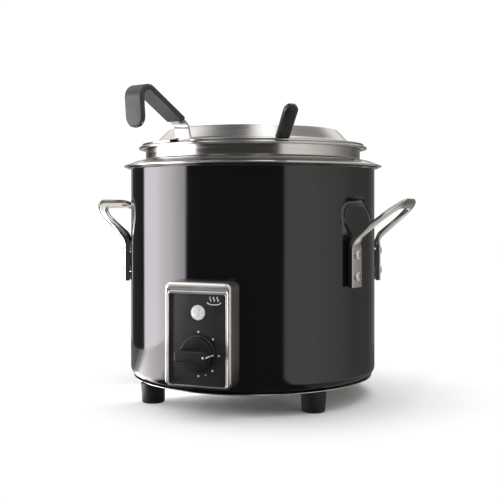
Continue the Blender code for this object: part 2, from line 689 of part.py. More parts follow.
def make_knob(skins, at):
    """The knob points at +X; its seat is the panel's front."""
    axis = bpy.data.objects.new("knob_axis", None)
    bpy.context.scene.collection.objects.link(axis)
    axis.parent = at
    axis.location = (0, DIAL_Z, PANEL_FRONT_R)
    bore = SHAFT_R + KNOB_FIT + GAP
    bore_end = SHAFT_LENGTH - PANEL_WALL + 2 * GAP
    knob = turned("knob", [
        (KNOB_POCKET_R, KNOB_LIFT), (KNOB_SKIRT_R, KNOB_LIFT),
        (KNOB_SKIRT_R, KNOB_LIFT + KNOB_SKIRT_H * 0.6), (KNOB_R + 0.0004, KNOB_LIFT + KNOB_SKIRT_H),
        (KNOB_R, KNOB_FACE - 0.001), (KNOB_R - 0.001, KNOB_FACE), (0, KNOB_FACE),
        (0, KNOB_POCKET_DEPTH), (KNOB_POCKET_R, KNOB_POCKET_DEPTH),
    ], skins["dark"], 24, axis)
    bar_length = 2 * (KNOB_R - KNOB_BAR_INSET)
    bar = block("knob_bar", (bar_length, KNOB_BAR_WIDTH, KNOB_BAR_TOP - KNOB_FACE + KNOB_BAR_SINK),
                (0, 0, (KNOB_BAR_TOP + KNOB_FACE - KNOB_BAR_SINK) / 2), None, axis,
                KNOB_BAR_CORNER_R)
    join(knob, bar)
    cut(knob, rod("knob_bore_cutter", bore, 0, bore_end, None, axis))
    pointer_x = bar_length / 2 - POINTER_LENGTH / 2 - POINTER_INSET
    cut(knob, block("pointer_cutter", (POINTER_LENGTH + 2 * GAP, POINTER_WIDTH + 2 * GAP, 0.004),
                    (pointer_x, 0, KNOB_BAR_TOP + 0.002 - POINTER_DEPTH), None, axis))
    block("knob_pointer", (POINTER_LENGTH, POINTER_WIDTH, POINTER_DEPTH - GAP),
          (pointer_x, 0, KNOB_BAR_TOP - (POINTER_DEPTH - GAP) / 2), skins["white"], axis)


def make_gland(skins):
    out = guide("gland_seat", (0, SHELL_R, GLAND_Z), 180, tip_out=True)
    turned("cord_gland", [
        (GLAND_BORE_R, -GLAND_TAIL), (GLAND_R, -GLAND_TAIL), (GLAND_R, GAP), (GLAND_FLANGE_R, GAP),
        (GLAND_FLANGE_R, GLAND_FLANGE_H * 0.6), (GLAND_FLANGE_R - 0.002, GLAND_FLANGE_H),
        (GLAND_BORE_R, GLAND_FLANGE_H),
    ], skins["dark"], AROUND_SMALL, out)


def make_leads(skins):
    """Two wires round the base, from the gland to the back of the thermostat."""
    lane = PAN_WELL_R + PAN_WALL + LEAD_R + LEAD_CLEARANCE
    lane_z = FOOT_TOP_Z + BASE_WALL + NUT_H + LEAD_RISE
    back_r = SHELL_R - 0.008
    enter = PANEL_FRONT_R - PANEL_WALL - 2 * GAP - THERMOSTAT_SIZE[2]
    for name, side in (("lead_live", 1), ("lead_neutral", -1)):
        places = [direction(180) * back_r + Vector((side * 0.002, 0, GLAND_Z)),
                  direction(180) * (back_r - 0.006) + Vector((side * 0.005, 0, GLAND_Z - 0.005))]
        for k in range(LEAD_STEPS):
            azimuth = 180 - side * (8 + k * 13.4)
            places.append(direction(azimuth) * lane + Vector((0, 0, lane_z)))
        end = Vector((side * 0.009, -enter + GAP, DIAL_Z - 0.008))
        places += [end + Vector((side * 0.003, 0.009, -0.008)), end + Vector((0, 0.003, 0)), end]
        tube(name, places, LEAD_R, skins["lead"])


# ---- handles ----
def channel(width):
    """Open channel: (across, out) with its web outermost."""
    half, round_off, wall = width / 2, CHANNEL_ROUND, CHANNEL_WALL
    outer = [Vector(p) for p in ((-half, -CHANNEL_DEPTH), (-half, -round_off), (-half + round_off, 0))]
    inner = [Vector(p) for p in ((-half + wall, -CHANNEL_DEPTH), (-half + wall, -wall))]
    right = [Vector((-p.x, p.y)) for p in outer[::-1]]
    return outer + right + [Vector((-p.x, p.y)) for p in inner] + inner[::-1]


def handle_stations():
    """(place, out, width) along one handle on +X, from leg to leg."""
    leg_r = SHELL_R + LEG_STAND
    leg_y = leg_r * sin(radians(LEG_AZ))
    leg_x = leg_r * cos(radians(LEG_AZ))
    slope = radians(ARM_SLOPE)
    turn = pi / 2 - slope
    leg_out = Vector((cos(radians(LEG_AZ)), -sin(radians(LEG_AZ)), 0))
    arm_out = Vector((sin(slope), 0, -cos(slope)))
    arm = Vector((cos(slope), 0, sin(slope)))
    front = Vector((0, -1, 0))
    half = [(Vector((leg_x, -leg_y, z)), leg_out, LEG_WIDTH)
            for z in (LEG_BOTTOM_Z, LEG_BEND_Z - LEG_FLAT)]
    for k in range(HANDLE_STEPS):
        share = k / (HANDLE_STEPS - 1)
        angle = turn * share
        place = Vector((leg_x + LEG_BEND_R * (1 - cos(angle)), -leg_y,
                        LEG_BEND_Z + LEG_BEND_R * sin(angle)))
        flat = leg_out.lerp(Vector((1, 0, 0)), share).normalized()
        out = flat * cos(angle) + Vector((0, 0, -1)) * sin(angle)
        half.append((place, out, LEG_WIDTH + (GRIP_WIDTH - LEG_WIDTH) * HANDLE_TAPER * share))
    bend_end = half[-1][0]
    reach_x = SHELL_R + GRIP_REACH
    run = (reach_x - bend_end.x) / cos(slope)
    corner = bend_end + arm * (run - GRIP_CORNER_R)
    half.append((bend_end.lerp(corner, 0.5), arm_out, GRIP_WIDTH + (LEG_WIDTH - GRIP_WIDTH) * 0.2))
    centre = corner - front * GRIP_CORNER_R
    for k in range(HANDLE_STEPS):
        angle = pi / 2 * k / (HANDLE_STEPS - 1)
        place = centre + front * GRIP_CORNER_R * cos(angle) + arm * GRIP_CORNER_R * sin(angle)
        half.append((place, arm_out, GRIP_WIDTH))
    mirror = [(Vector((p.x, -p.y, p.z)), Vector((o.x, -o.y, o.z)), w) for p, o, w in half[::-1]]
    return half + mirror


def make_handles(skins, shell):
    stations = handle_stations()
    rings = []
    for i, (place, out, width) in enumerate(stations):
        before = stations[max(i - 1, 0)][0]
        after = stations[min(i + 1, len(stations) - 1)][0]
        across = (after - before).normalized().cross(out).normalized()
        rings.append([place + across * p.x + out * p.y for p in channel(width)])
    for name, azimuth in (("handle_right", 90), ("handle_left", -90)):
        handle = lofted(name, rings, skins["steel"])
        handle.rotation_euler = (0, 0, radians(azimuth - 90))
        number = 0
        for side in (-1, 1):
            for z in RIVET_ZS:
                number += 1
                make_rivet(f"{name.replace('handle', 'rivet')}_{number}", azimuth + side * LEG_AZ, z,
                           handle, shell, skins)


def make_rivet(name, azimuth, z, handle, shell, skins):
    """A round-headed rivet from the handle's web through the shell's wall."""
    seat = guide(name + "_axis", direction(azimuth) * (SHELL_R + LEG_STAND) + Vector((0, 0, z)),
                 azimuth, tip_out=True)
    tail = -LEG_STAND - SHELL_WALL - RIVET_TAIL
    turned(name, [
        (0, tail), (RIVET_R, tail), (RIVET_R, GAP), (RIVET_HEAD_R, GAP),
        (RIVET_HEAD_R * 0.75, RIVET_HEAD_H * 0.7), (0, RIVET_HEAD_H),
    ], skins["bright"], 10, seat)
    hole = rod(name + "_cutter", RIVET_R + SCREW_FIT, -CUT / 2, CUT / 4, None, seat, 10)
    cut(handle, hole)
    cut(shell, hole)


# ---- vessel ----
def make_inset(skins):
    turned("inset", sheet([
        (INSET_NECK_R + INSET_HEM, INSET_TOP_Z - INSET_LIP_H),
        (INSET_LIP_R, INSET_TOP_Z - INSET_LIP_H, INSET_EDGE_R),
        (INSET_LIP_R, INSET_TOP_Z, INSET_EDGE_R),
        (INSET_NECK_R, INSET_TOP_Z, 0.0008),
        (INSET_NECK_R, INSET_SHOULDER_Z),
        (INSET_R, INSET_SHOULDER_Z),
        (INSET_R, INSET_FLOOR_Z, INSET_CORNER_R),
        (0, INSET_FLOOR_Z),
    ], INSET_WALL, 2), skins["steel"])


def lid_outline():
    return sheet([
        (LID_R - LID_HEM, LID_Z), (LID_R, LID_Z, 0.0009), (LID_R, LID_Z + LID_EDGE_H, LID_EDGE_R),
        (CROWN_FOOT_R, LID_Z + CROWN_FOOT_RISE, CROWN_CORNER_R), (CROWN_R, CROWN_Z, CROWN_CORNER_R),
        (0, CROWN_Z),
    ], LID_WALL, 2)


def make_lid(skins):
    """Local X points to the flap; local Y runs along the hinge."""
    at = guide("lid_axis", (0, 0, 0), FLAP_AZ)
    half = LID_R + CUT / 2
    rear = turned("lid_rear", lid_outline(), skins["steel"], AROUND, at)
    flap = turned("lid_flap", lid_outline(), skins["steel"], AROUND, at)
    middle_z = LID_Z + CROWN_RISE / 2
    cut(rear, block("rear_cutter", (half, 2 * half, CUT), (half / 2 - LID_SPLIT / 2, 0, middle_z),
                    None, at))
    cut(flap, block("flap_cutter", (half, 2 * half, CUT), (LID_SPLIT / 2 - half / 2, 0, middle_z),
                    None, at))
    slot = guide("notch_axis", (0, 0, 0), NOTCH_AZ)
    cut(flap, block("notch_cutter", (CUT, NOTCH_WIDTH, CUT),
                    (CROWN_FOOT_R + CUT / 2, 0, middle_z), None, slot))
    make_hinge(at, skins)
    make_lever(at, skins, flap)


def make_hinge(at, skins):
    step = HINGE_LENGTH / HINGE_KNUCKLES
    leaf_low = CROWN_Z + GAP
    bore = HINGE_PIN_R + HINGE_PIN_FIT
    for name, side, first in (("hinge_leaf_rear", -1, 0), ("hinge_leaf_flap", 1, 1)):
        near = HINGE_BARREL_R + HINGE_SETBACK
        leaf = block(name, (HINGE_LEAF_WIDTH - near, HINGE_LENGTH, HINGE_LEAF_WALL),
                     (side * (HINGE_LEAF_WIDTH + near) / 2, 0, leaf_low + HINGE_LEAF_WALL / 2),
                     skins["steel"], at)
        for k in range(first, HINGE_KNUCKLES, 2):
            length = step - HINGE_KNUCKLE_GAP
            middle = -HINGE_LENGTH / 2 + (k + 0.5) * step
            barrel = rod(f"barrel_{k}", HINGE_BARREL_R, -length / 2, length / 2, None, at, 14)
            barrel.location = (0, middle, HINGE_Z)
            barrel.rotation_euler = (pi / 2, 0, 0)
            join(leaf, barrel)
            tab = block(f"barrel_tab_{k}", (near + HINGE_TAB, length, HINGE_LEAF_WALL),
                        (side * (near + HINGE_TAB) / 2, middle, leaf_low + HINGE_LEAF_WALL / 2), None, at)
            join(leaf, tab)
        hole = rod(name + "_cutter", bore, -HINGE_LENGTH, HINGE_LENGTH, None, at, 12)
        hole.location = (0, 0, HINGE_Z)
        hole.rotation_euler = (pi / 2, 0, 0)
        cut(leaf, hole)
    pin = rod("hinge_pin", HINGE_PIN_R, -HINGE_LENGTH / 2 - HINGE_PIN_SPARE,
              HINGE_LENGTH / 2 + HINGE_PIN_SPARE,
              skins["steel"], at, 12)
    pin.location = (0, 0, HINGE_Z)
    pin.rotation_euler = (pi / 2, 0, 0)


def make_lever(at, skins, flap):
    slant = atan2(CROWN_FOOT_RISE - LID_EDGE_H, LID_R - CROWN_FOOT_R)
    foot_r = LID_R - LEVER_INSET
    up = LEVER_WALL / 2 + GAP
    rise = Vector((-cos(slant), sin(slant)))
    normal = Vector((sin(slant), cos(slant)))
    corner = Vector((foot_r, LID_Z + LID_EDGE_H + GAP)) + normal * up
    lean = Vector((cos(radians(LEVER_SLOPE)), sin(radians(LEVER_SLOPE))))
    tip = corner + lean * LEVER_LENGTH
    path = rounded([tuple(corner + rise * LEVER_FOOT), (*corner, LEVER_BEND_R), tuple(tip)], 4)
    section = [Vector((x * LEVER_WIDTH / 2, y * LEVER_WALL / 2))
               for x, y in ((-1, -1), (1, -1), (1, 1), (-1, 1))]
    stem = strap("flap_lever", path, section, skins["steel"], at)
    grip_tip = tip + lean * LEVER_GRIP_TIP
    grip_path = [grip_tip - lean * s for s in
                 (LEVER_GRIP_LENGTH * 0.92, LEVER_GRIP_LENGTH * 0.5, 0.004, 0.0012, 0)]
    shape = rounded_box(LEVER_GRIP_WIDTH, LEVER_GRIP_THICK, LEVER_GRIP_THICK * GRIP_ROUND, 2)
    shrink = (0.86, 1.0, 1.0, 0.85, 0.5)
    side = Vector((-lean.y, lean.x))
    rings = [[Vector((c.x + side.x * p.y * s, p.x * s, c.y + side.y * p.y * s)) for p in shape]
             for c, s in zip(grip_path, shrink)]
    grip = lofted("lever_grip", rings, skins["grip"], at)
    pocket = [Vector((x * (LEVER_WIDTH / 2 + GAP), y * (LEVER_WALL / 2 + GAP)))
              for x, y in ((-1, -1), (1, -1), (1, 1), (-1, 1))]
    cut(grip, strap("grip_pocket_cutter", [tip + lean * GAP, tip - lean * (LEVER_GRIP_LENGTH + LEVER_FOOT)],
                    pocket, None, at))
    for k, share in enumerate(LEVER_RIVET_SHARES):
        spot = corner + rise * LEVER_FOOT * share
        axis = bpy.data.objects.new(f"lever_rivet_axis_{k + 1}", None)
        bpy.context.scene.collection.objects.link(axis)
        axis.parent = at
        axis.location = (spot.x, 0, spot.y)
        axis.rotation_euler = (0, slant, 0)
        tail = -up - LID_WALL - LEVER_RIVET_TAIL
        top = LEVER_WALL / 2
        turned(f"lever_rivet_{k + 1}", [
            (0, tail), (LEVER_RIVET_R, tail), (LEVER_RIVET_R, top + GAP),
            (LEVER_RIVET_HEAD_R, top + GAP), (LEVER_RIVET_HEAD_R * 0.7, top + LEVER_RIVET_HEAD_H * 0.82),
            (0, top + LEVER_RIVET_HEAD_H),
        ], skins["steel"], 10, axis)
        hole = rod(f"lever_rivet_cutter_{k + 1}", LEVER_RIVET_R + SCREW_FIT, -CUT / 4, CUT / 4, None,
                   axis, 10)
        cut(stem, hole)
        cut(flap, hole)


# ---- ladle ----
def ladle_path():
    """The strap's middle line as (radius, height), from the bowl to the hook's tip."""
    tilt = tan(radians(LADLE_TILT))
    rim_z = INSET_FLOOR_Z + LADLE_FLOOR_GAP + LADLE_BOWL_DEPTH
    low = Vector((LADLE_CROSS_R - (LID_Z - rim_z + LADLE_END_DROP) * tilt, rim_z - LADLE_END_DROP))
    bend = Vector((LADLE_CROSS_R + LADLE_BEND_RISE * tilt, LID_Z + LADLE_BEND_RISE))
    top = bend + Vector((LADLE_REACH, LADLE_REACH_RISE))
    end = top + Vector((-LADLE_HOOK_LEAN, -LADLE_HOOK_DROP))
    return low, bend, top, end


def make_ladle(skins):
    at = guide("ladle_axis", (0, 0, 0), LADLE_AZ)
    low, bend, top, end = ladle_path()
    flat = [Vector((x * LADLE_WIDTH / 2, y * LADLE_WALL / 2))
            for x, y in ((-1, -1), (1, -1), (1, 1), (-1, 1))]
    path = rounded([tuple(low), (*bend, LADLE_BEND_R), (*top, LADLE_HOOK_R), tuple(end)], 5)
    strap("ladle_handle", path, flat, skins["steel"], at)

    leg = (top - bend).normalized()
    drop = (end - top).normalized()
    start = bend + leg * LADLE_GRIP_START
    tip = end + drop * LADLE_GRIP_TIP
    line = rounded([tuple(start), (*top, LADLE_HOOK_R), tuple(tip)], 5)
    shape = rounded_box(LADLE_GRIP_WIDTH, LADLE_GRIP_THICK, LADLE_GRIP_THICK * GRIP_ROUND, 2)
    grip = strap("ladle_grip", line, shape, skins["grip"], at)
    room = [Vector((x * (LADLE_WIDTH / 2 + GAP), y * (LADLE_WALL / 2 + GAP)))
            for x, y in ((-1, -1), (1, -1), (1, 1), (-1, 1))]
    core = rounded([tuple(start - leg * LADLE_GRIP_SPARE), (*top, LADLE_HOOK_R),
                    tuple(end + drop * GAP)], 5)
    cut(grip, strap("ladle_grip_cutter", core, room, None, at))

    tilt = tan(radians(LADLE_TILT))
    rim_z = INSET_FLOOR_Z + LADLE_FLOOR_GAP + LADLE_BOWL_DEPTH
    touch_r = LADLE_CROSS_R - (LID_Z - rim_z) * tilt - LADLE_WALL / 2 / cos(radians(LADLE_TILT))
    bowl_r = touch_r - LADLE_BOWL_R - LADLE_BOWL_GAP
    profile = [(LADLE_BOWL_R * sin(pi / 2 * k / 6),
                rim_z - LADLE_BOWL_DEPTH * cos(pi / 2 * k / 6)) for k in range(7)]
    path = [Vector(p) for p in profile]
    bowl = turned("ladle_bowl", path + offset(path, LADLE_BOWL_WALL)[::-1], skins["steel"], 24, at)
    bowl.location = (bowl_r, 0, 0)


def make_skins():
    return {
        "enamel": material("gloss_black_enamel", (0.012, 0.012, 0.013), 0.12),
        "steel": material("satin_stainless", (0.62, 0.60, 0.57), 0.32, 1.0),
        "bright": material("polished_stainless", (0.72, 0.70, 0.67), 0.18, 1.0),
        "panel": material("charcoal_panel", (0.030, 0.030, 0.032), 0.45),
        "dark": material("black_plastic", (0.016, 0.016, 0.017), 0.38),
        "grip": material("black_grip", (0.020, 0.020, 0.021), 0.55),
        "rubber": material("black_rubber", (0.014, 0.014, 0.014), 0.6),
        "white": material("white_mark", (0.85, 0.85, 0.83), 0.4),
        "lens": material("clear_lens", (0.80, 0.80, 0.78), 0.08),
        "brass": material("brass", (0.72, 0.50, 0.22), 0.3, 1.0),
        "wool": material("mineral_wool", (0.55, 0.50, 0.38), 0.95),
        "element": material("heater_sheath", (0.24, 0.22, 0.20), 0.5, 1.0),
        "lead": material("lead_insulation", (0.45, 0.42, 0.38), 0.6),
    }


def main():
    for old in list(bpy.data.objects):
        bpy.data.objects.remove(old, do_unlink=True)
    skins = make_skins()
    shell = make_shell(skins)
    make_base(skins)
    make_pan(skins)
    make_insulation(skins)
    make_heater(skins)
    at = make_control_box(skins)
    make_pilot(skins, at)
    make_thermostat(skins, at)
    make_knob(skins, at)
    make_gland(skins)
    make_leads(skins)
    make_handles(skins, shell)
    make_inset(skins)
    make_lid(skins)
    make_ladle(skins)


main()
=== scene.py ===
from math import atan2, cos, pi, radians, sin, tan

import bmesh
import bpy
from mathutils import Matrix, Vector


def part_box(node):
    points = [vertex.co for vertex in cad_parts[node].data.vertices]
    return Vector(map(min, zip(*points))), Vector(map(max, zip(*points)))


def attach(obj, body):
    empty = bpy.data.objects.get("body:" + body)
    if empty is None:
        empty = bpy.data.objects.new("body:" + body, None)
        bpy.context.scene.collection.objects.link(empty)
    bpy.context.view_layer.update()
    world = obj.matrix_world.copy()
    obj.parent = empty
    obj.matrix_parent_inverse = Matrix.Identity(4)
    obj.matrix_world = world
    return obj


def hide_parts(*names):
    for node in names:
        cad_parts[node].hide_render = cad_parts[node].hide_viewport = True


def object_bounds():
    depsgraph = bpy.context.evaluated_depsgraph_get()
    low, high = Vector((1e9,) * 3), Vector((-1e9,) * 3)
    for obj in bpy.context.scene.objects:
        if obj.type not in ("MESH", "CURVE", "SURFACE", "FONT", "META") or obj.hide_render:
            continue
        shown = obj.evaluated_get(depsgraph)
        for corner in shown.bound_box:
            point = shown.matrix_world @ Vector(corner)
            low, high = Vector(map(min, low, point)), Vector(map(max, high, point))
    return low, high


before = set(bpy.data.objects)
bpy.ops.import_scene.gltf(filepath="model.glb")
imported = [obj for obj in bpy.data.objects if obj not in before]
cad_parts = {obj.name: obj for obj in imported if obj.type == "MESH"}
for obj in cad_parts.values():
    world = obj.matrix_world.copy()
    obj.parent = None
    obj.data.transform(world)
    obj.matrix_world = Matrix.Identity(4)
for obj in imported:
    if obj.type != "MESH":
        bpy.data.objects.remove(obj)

cadLow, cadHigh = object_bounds()
mm = 0.001
print("frame loaded:", len(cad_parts), "nodes")


def roundCorners(points, steps=8):
    # a path through (a, b) points, where a third number rounds that corner
    path = []
    for i, point in enumerate(points):
        here = Vector(point[:2])
        if len(point) < 3 or i in (0, len(points) - 1):
            path.append(here)
            continue
        back = (Vector(points[i - 1][:2]) - here).normalized()
        onward = (Vector(points[i + 1][:2]) - here).normalized()
        half = back.angle(onward) / 2
        reach = point[2] / tan(half)
        centre = here + (back + onward).normalized() * (point[2] / sin(half))
        start = here + back * reach - centre
        turn = start.angle_signed(here + onward * reach - centre)
        for k in range(steps + 1):
            path.append(centre + start @ Matrix.Rotation(turn * k / steps, 2))
    return path


def shiftLeft(path, distance):
    moved = []
    for i, here in enumerate(path):
        ahead = (path[min(i + 1, len(path) - 1)] - path[min(i, len(path) - 2)]).normalized()
        behind = (path[max(i, 1)] - path[max(i - 1, 0)]).normalized()
        side = Vector((-ahead.y - behind.y, ahead.x + behind.x)).normalized()
        stretch = max(side.dot(Vector((-ahead.y, ahead.x))), 0.3)
        moved.append(here + side * (distance / stretch))
    return moved


def sheetOutline(points, wall, steps=8):
    # closed outline of a sheet: its wall lies left of the path and its cut edge is rounded
    corners = [Vector(p[:2]) for p in points]
    moved = shiftLeft(corners, wall)
    inner = []
    for i, point in enumerate(points):
        radius = 0
        if len(point) == 3 and 0 < i < len(points) - 1:
            turn = (corners[i] - corners[i - 1]).angle_signed(corners[i + 1] - corners[i])
            radius = point[2] + (wall if turn > 0 else -wall)
        inner.append((*moved[i], radius) if radius > 0.1 * mm else tuple(moved[i]))
    face = roundCorners(points, steps)
    back = roundCorners(inner, steps)[::-1]
    return face + roundEdge(face[-1], back[0], face[-1] - face[-2]) + back \
        + roundEdge(back[-1], face[0], face[0] - face[1])


def roundEdge(start, end, outward):
    # half-round bead closing a sheet's cut edge; nothing where the sheet ends on the axis
    if abs(start.x) < 0.01 * mm and abs(end.x) < 0.01 * mm:
        return []
    middle = (start + end) / 2
    arm = start - middle
    out = outward.normalized() * arm.length * 0.5
    return [middle + arm * cos(pi * k / 4) + out * sin(pi * k / 4) - out for k in (1, 2, 3)]


def roundRect(width, height, radius, steps=8):
    ring = []
    for k in range(4):
        sx, sy = (1, -1, -1, 1)[k], (1, 1, -1, -1)[k]
        for j in range(steps + 1):
            angle = (k + j / steps) * pi / 2
            ring.append(Vector((sx * (width / 2 - radius) + radius * cos(angle),
                                sy * (height / 2 - radius) + radius * sin(angle))))
    return ring


def newPiece(name, verts, faces, finish, body, stands=(), sharp=32):
    mesh = bpy.data.meshes.new(name)
    mesh.from_pydata([tuple(v) for v in verts], [], faces)
    work = bmesh.new()
    work.from_mesh(mesh)
    bmesh.ops.recalc_face_normals(work, faces=work.faces)
    if work.calc_volume(signed=True) < 0:
        bmesh.ops.reverse_faces(work, faces=work.faces)
    work.to_mesh(mesh)
    work.free()
    mesh.shade_smooth()
    mesh.set_sharp_from_angle(angle=radians(sharp))
    piece = bpy.data.objects.new(name, mesh)
    bpy.context.scene.collection.objects.link(piece)
    if finish:
        coat(piece, finish)
    if body:
        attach(piece, body)
    if stands:
        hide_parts(*stands)
    return piece


def coat(piece, finish):
    # give a piece its finish
    piece.data.materials.append(finish)


def turned(name, outline, finish, body=None, stands=(), around=160, place=None, sharp=32):
    # a closed (radius, height) outline turned about Z, then put in place by a matrix
    verts, rings, faces = [], [], []
    place = place or Matrix.Identity(4)
    for radius, height in outline:
        if radius < 0.001 * mm:
            rings.append([len(verts)] * around)
            verts.append(place @ Vector((0, 0, height)))
            continue
        rings.append(list(range(len(verts), len(verts) + around)))
        for k in range(around):
            angle = 2 * pi * k / around
            verts.append(place @ Vector((radius * cos(angle), radius * sin(angle), height)))
    for i, lower in enumerate(rings):
        upper = rings[(i + 1) % len(rings)]
        for k in range(around):
            j = (k + 1) % around
            corners = list(dict.fromkeys((lower[k], lower[j], upper[j], upper[k])))
            if len(corners) > 2:
                faces.append(corners)
    return newPiece(name, verts, faces, finish, body, stands, sharp)


def lofted(name, rings, finish, body=None, stands=(), sharp=32):
    count = len(rings[0])
    verts = [v for ring in rings for v in ring]
    faces = [list(range(count))[::-1], list(range(len(verts) - count, len(verts)))]
    for i in range(len(rings) - 1):
        for k in range(count):
            j = (k + 1) % count
            a, b = i * count, (i + 1) * count
            faces.append([a + k, a + j, b + j, b + k])
    return newPiece(name, verts, faces, finish, body, stands, sharp)


def stacked(name, ring, levels, finish, body=None, stands=(), place=None, sharp=32):
    # a closed ring stacked at (height, inset) levels, so its front and back edges are rounded
    place = place or Matrix.Identity(4)
    rings = []
    for height, inset in levels:
        rings.append([place @ Vector((*p, height)) for p in shrinkRing(ring, inset)])
    return lofted(name, rings, finish, body, stands, sharp)


def shrinkRing(ring, inset):
    if not inset:
        return ring
    moved = []
    for i, here in enumerate(ring):
        ahead = (ring[(i + 1) % len(ring)] - here).normalized()
        behind = (here - ring[i - 1]).normalized()
        side = Vector((-ahead.y - behind.y, ahead.x + behind.x)).normalized()
        moved.append(here + side * inset)
    return moved


def edgeLevels(low, high, radius, steps=4):
    # levels of a block whose two ends are rounded by the radius
    arc = [(radius * (1 - cos(pi / 2 * k / steps)), radius * (1 - sin(pi / 2 * k / steps)))
           for k in range(steps + 1)]
    bottom = [(low + rise, inset) for rise, inset in arc]
    return bottom + [(high - rise, inset) for rise, inset in arc[::-1]]


def cutAway(piece, tool, mode="DIFFERENCE"):
    step = piece.modifiers.new("cut", "BOOLEAN")
    step.operation = mode
    step.solver = "EXACT"
    step.object = tool
    bpy.context.view_layer.update()
    graph = bpy.context.evaluated_depsgraph_get()
    mesh = bpy.data.meshes.new_from_object(piece.evaluated_get(graph))
    piece.modifiers.clear()
    old = piece.data
    piece.data = mesh
    bpy.data.meshes.remove(old)
    bpy.data.objects.remove(tool, do_unlink=True)
    mesh.shade_smooth()
    mesh.set_sharp_from_angle(angle=radians(32))


def cylinder(radius, low, high, place=None, around=48):
    return turned("tool", [(0, low), (radius, low), (radius, high), (0, high)], None,
                  around=around, place=place)


def boxTool(size, middle, place=None, radius=0.0):
    ring = roundRect(size[0], size[1], max(radius, 0.05 * mm), 6)
    ring = [p + Vector(middle[:2]) for p in ring]
    place = place or Matrix.Identity(4)
    low, high = middle[2] - size[2] / 2, middle[2] + size[2] / 2
    return lofted("tool", [[place @ Vector((*p, z)) for p in ring] for z in (low, high)], None)


def outwards(azimuth):
    # level unit vector; azimuth 0 faces the control box side, 90 the right handle
    return Vector((sin(radians(azimuth)), -cos(radians(azimuth)), 0))


def radialPlace(azimuth, radius=0.0, height=0.0):
    # local X points out along the azimuth, local Z stays up
    return Matrix.Translation(outwards(azimuth) * radius + Vector((0, 0, height))) \
        @ Matrix.Rotation(radians(azimuth - 90), 4, "Z")


def facingPlace(azimuth, radius=0.0, height=0.0):
    # local Z points out along the azimuth and local Y is up
    return radialPlace(azimuth, radius, height) \
        @ Matrix.Rotation(pi / 2, 4, "Y") @ Matrix.Rotation(pi / 2, 4, "Z")


def startFinish(name, colour, roughness, metallic=0.0, **extra):
    finish = bpy.data.materials.new(name)
    finish.use_nodes = True
    finish.diffuse_color = (*colour, 1)
    shader = finish.node_tree.nodes["Principled BSDF"]
    shader.inputs["Base Color"].default_value = (*colour, 1)
    shader.inputs["Roughness"].default_value = roughness
    shader.inputs["Metallic"].default_value = metallic
    for socket, value in extra.items():
        shader.inputs[socket.replace("_", " ")].default_value = value
    return finish, finish.node_tree.nodes, shader


def addNode(nodes, kind, **settings):
    # a shader node; each setting names one of its sockets or options
    node = nodes.new("ShaderNode" + kind)
    for key, value in settings.items():
        socket = key.replace("_", " ")
        if socket in node.inputs:
            node.inputs[socket].default_value = value
        else:
            setattr(node, key, value)
    return node


def join(source, target):
    source.id_data.links.new(source, target)


def shareBetween(nodes, source, start, end, low=0.0, high=1.0):
    # low at start, high at end, and level beyond them
    ramp = addNode(nodes, "MapRange", From_Min=start, From_Max=end, To_Min=low, To_Max=high)
    join(source, ramp.inputs["Value"])
    return ramp.outputs["Result"]


def spread(nodes, noise, low, high, target):
    join(shareBetween(nodes, noise, 0.3, 0.7, low, high), target)


def tintSpread(nodes, source, dark, light, target):
    ramp = addNode(nodes, "ValToRGB")
    for element, position, colour in zip(ramp.color_ramp.elements, (0.3, 0.7), (dark, light)):
        element.position = position
        element.color = (*colour, 1)
    join(source, ramp.inputs["Fac"])
    join(ramp.outputs["Color"], target)


def bumpFrom(nodes, source, shader, strength, distance):
    bump = addNode(nodes, "Bump", Strength=strength, Distance=distance)
    join(source, bump.inputs["Height"])
    join(bump.outputs["Normal"], shader.inputs["Normal"])


def noiseAt(nodes, vector, scale, detail=3.0):
    noise = addNode(nodes, "TexNoise", Scale=scale, Detail=detail)
    join(vector, noise.inputs["Vector"])
    return noise.outputs["Fac"]


def roundAboutVector(nodes):
    # (radius, angle, height) of each point, so that brush lines run round the axis
    split = addNode(nodes, "SeparateXYZ")
    join(placeOf(nodes), split.inputs["Vector"])
    flat = addNode(nodes, "CombineXYZ")
    for axis in "XY":
        join(split.outputs[axis], flat.inputs[axis])
    length = addNode(nodes, "VectorMath", operation="LENGTH")
    join(flat.outputs["Vector"], length.inputs[0])
    angle = addNode(nodes, "Math", operation="ARCTAN2")
    join(split.outputs["Y"], angle.inputs[0])
    join(split.outputs["X"], angle.inputs[1])
    joined = addNode(nodes, "CombineXYZ")
    join(length.outputs["Value"], joined.inputs["X"])
    join(angle.outputs["Value"], joined.inputs["Y"])
    join(split.outputs["Z"], joined.inputs["Z"])
    return joined.outputs["Vector"]


def placeOf(nodes):
    return addNode(nodes, "TexCoord").outputs["Object"]


def stretched(nodes, vector, scale):
    mapping = addNode(nodes, "Mapping", Scale=scale)
    join(vector, mapping.inputs["Vector"])
    return mapping.outputs["Vector"]


def blackEnamel():
    look = {"colour": (0.0042, 0.0042, 0.0046), "roughness": 0.07, "peel": 0.05}
    finish, nodes, shader = startFinish("blackEnamel", look["colour"], look["roughness"],
                                        Coat_Weight=0.35, Coat_Roughness=0.05)
    place = placeOf(nodes)
    wide = noiseAt(nodes, place, 9, 2)
    spread(nodes, wide, look["roughness"] - 0.02, look["roughness"] + 0.03,
           shader.inputs["Roughness"])
    peel = noiseAt(nodes, place, 420, 2)
    bumpFrom(nodes, peel, shader, look["peel"], 0.02 * mm)
    return finish


def brushed(nodes, shader, lines, broad, colour, roughness, depth):
    # brush lines in tint and relief, with slowly changing gloss
    spread(nodes, broad, roughness - 0.04, roughness + 0.06, shader.inputs["Roughness"])
    tintSpread(nodes, lines, tuple(c * 0.93 for c in colour),
               tuple(min(c * 1.05, 1) for c in colour), shader.inputs["Base Color"])
    bumpFrom(nodes, lines, shader, depth, 0.01 * mm)


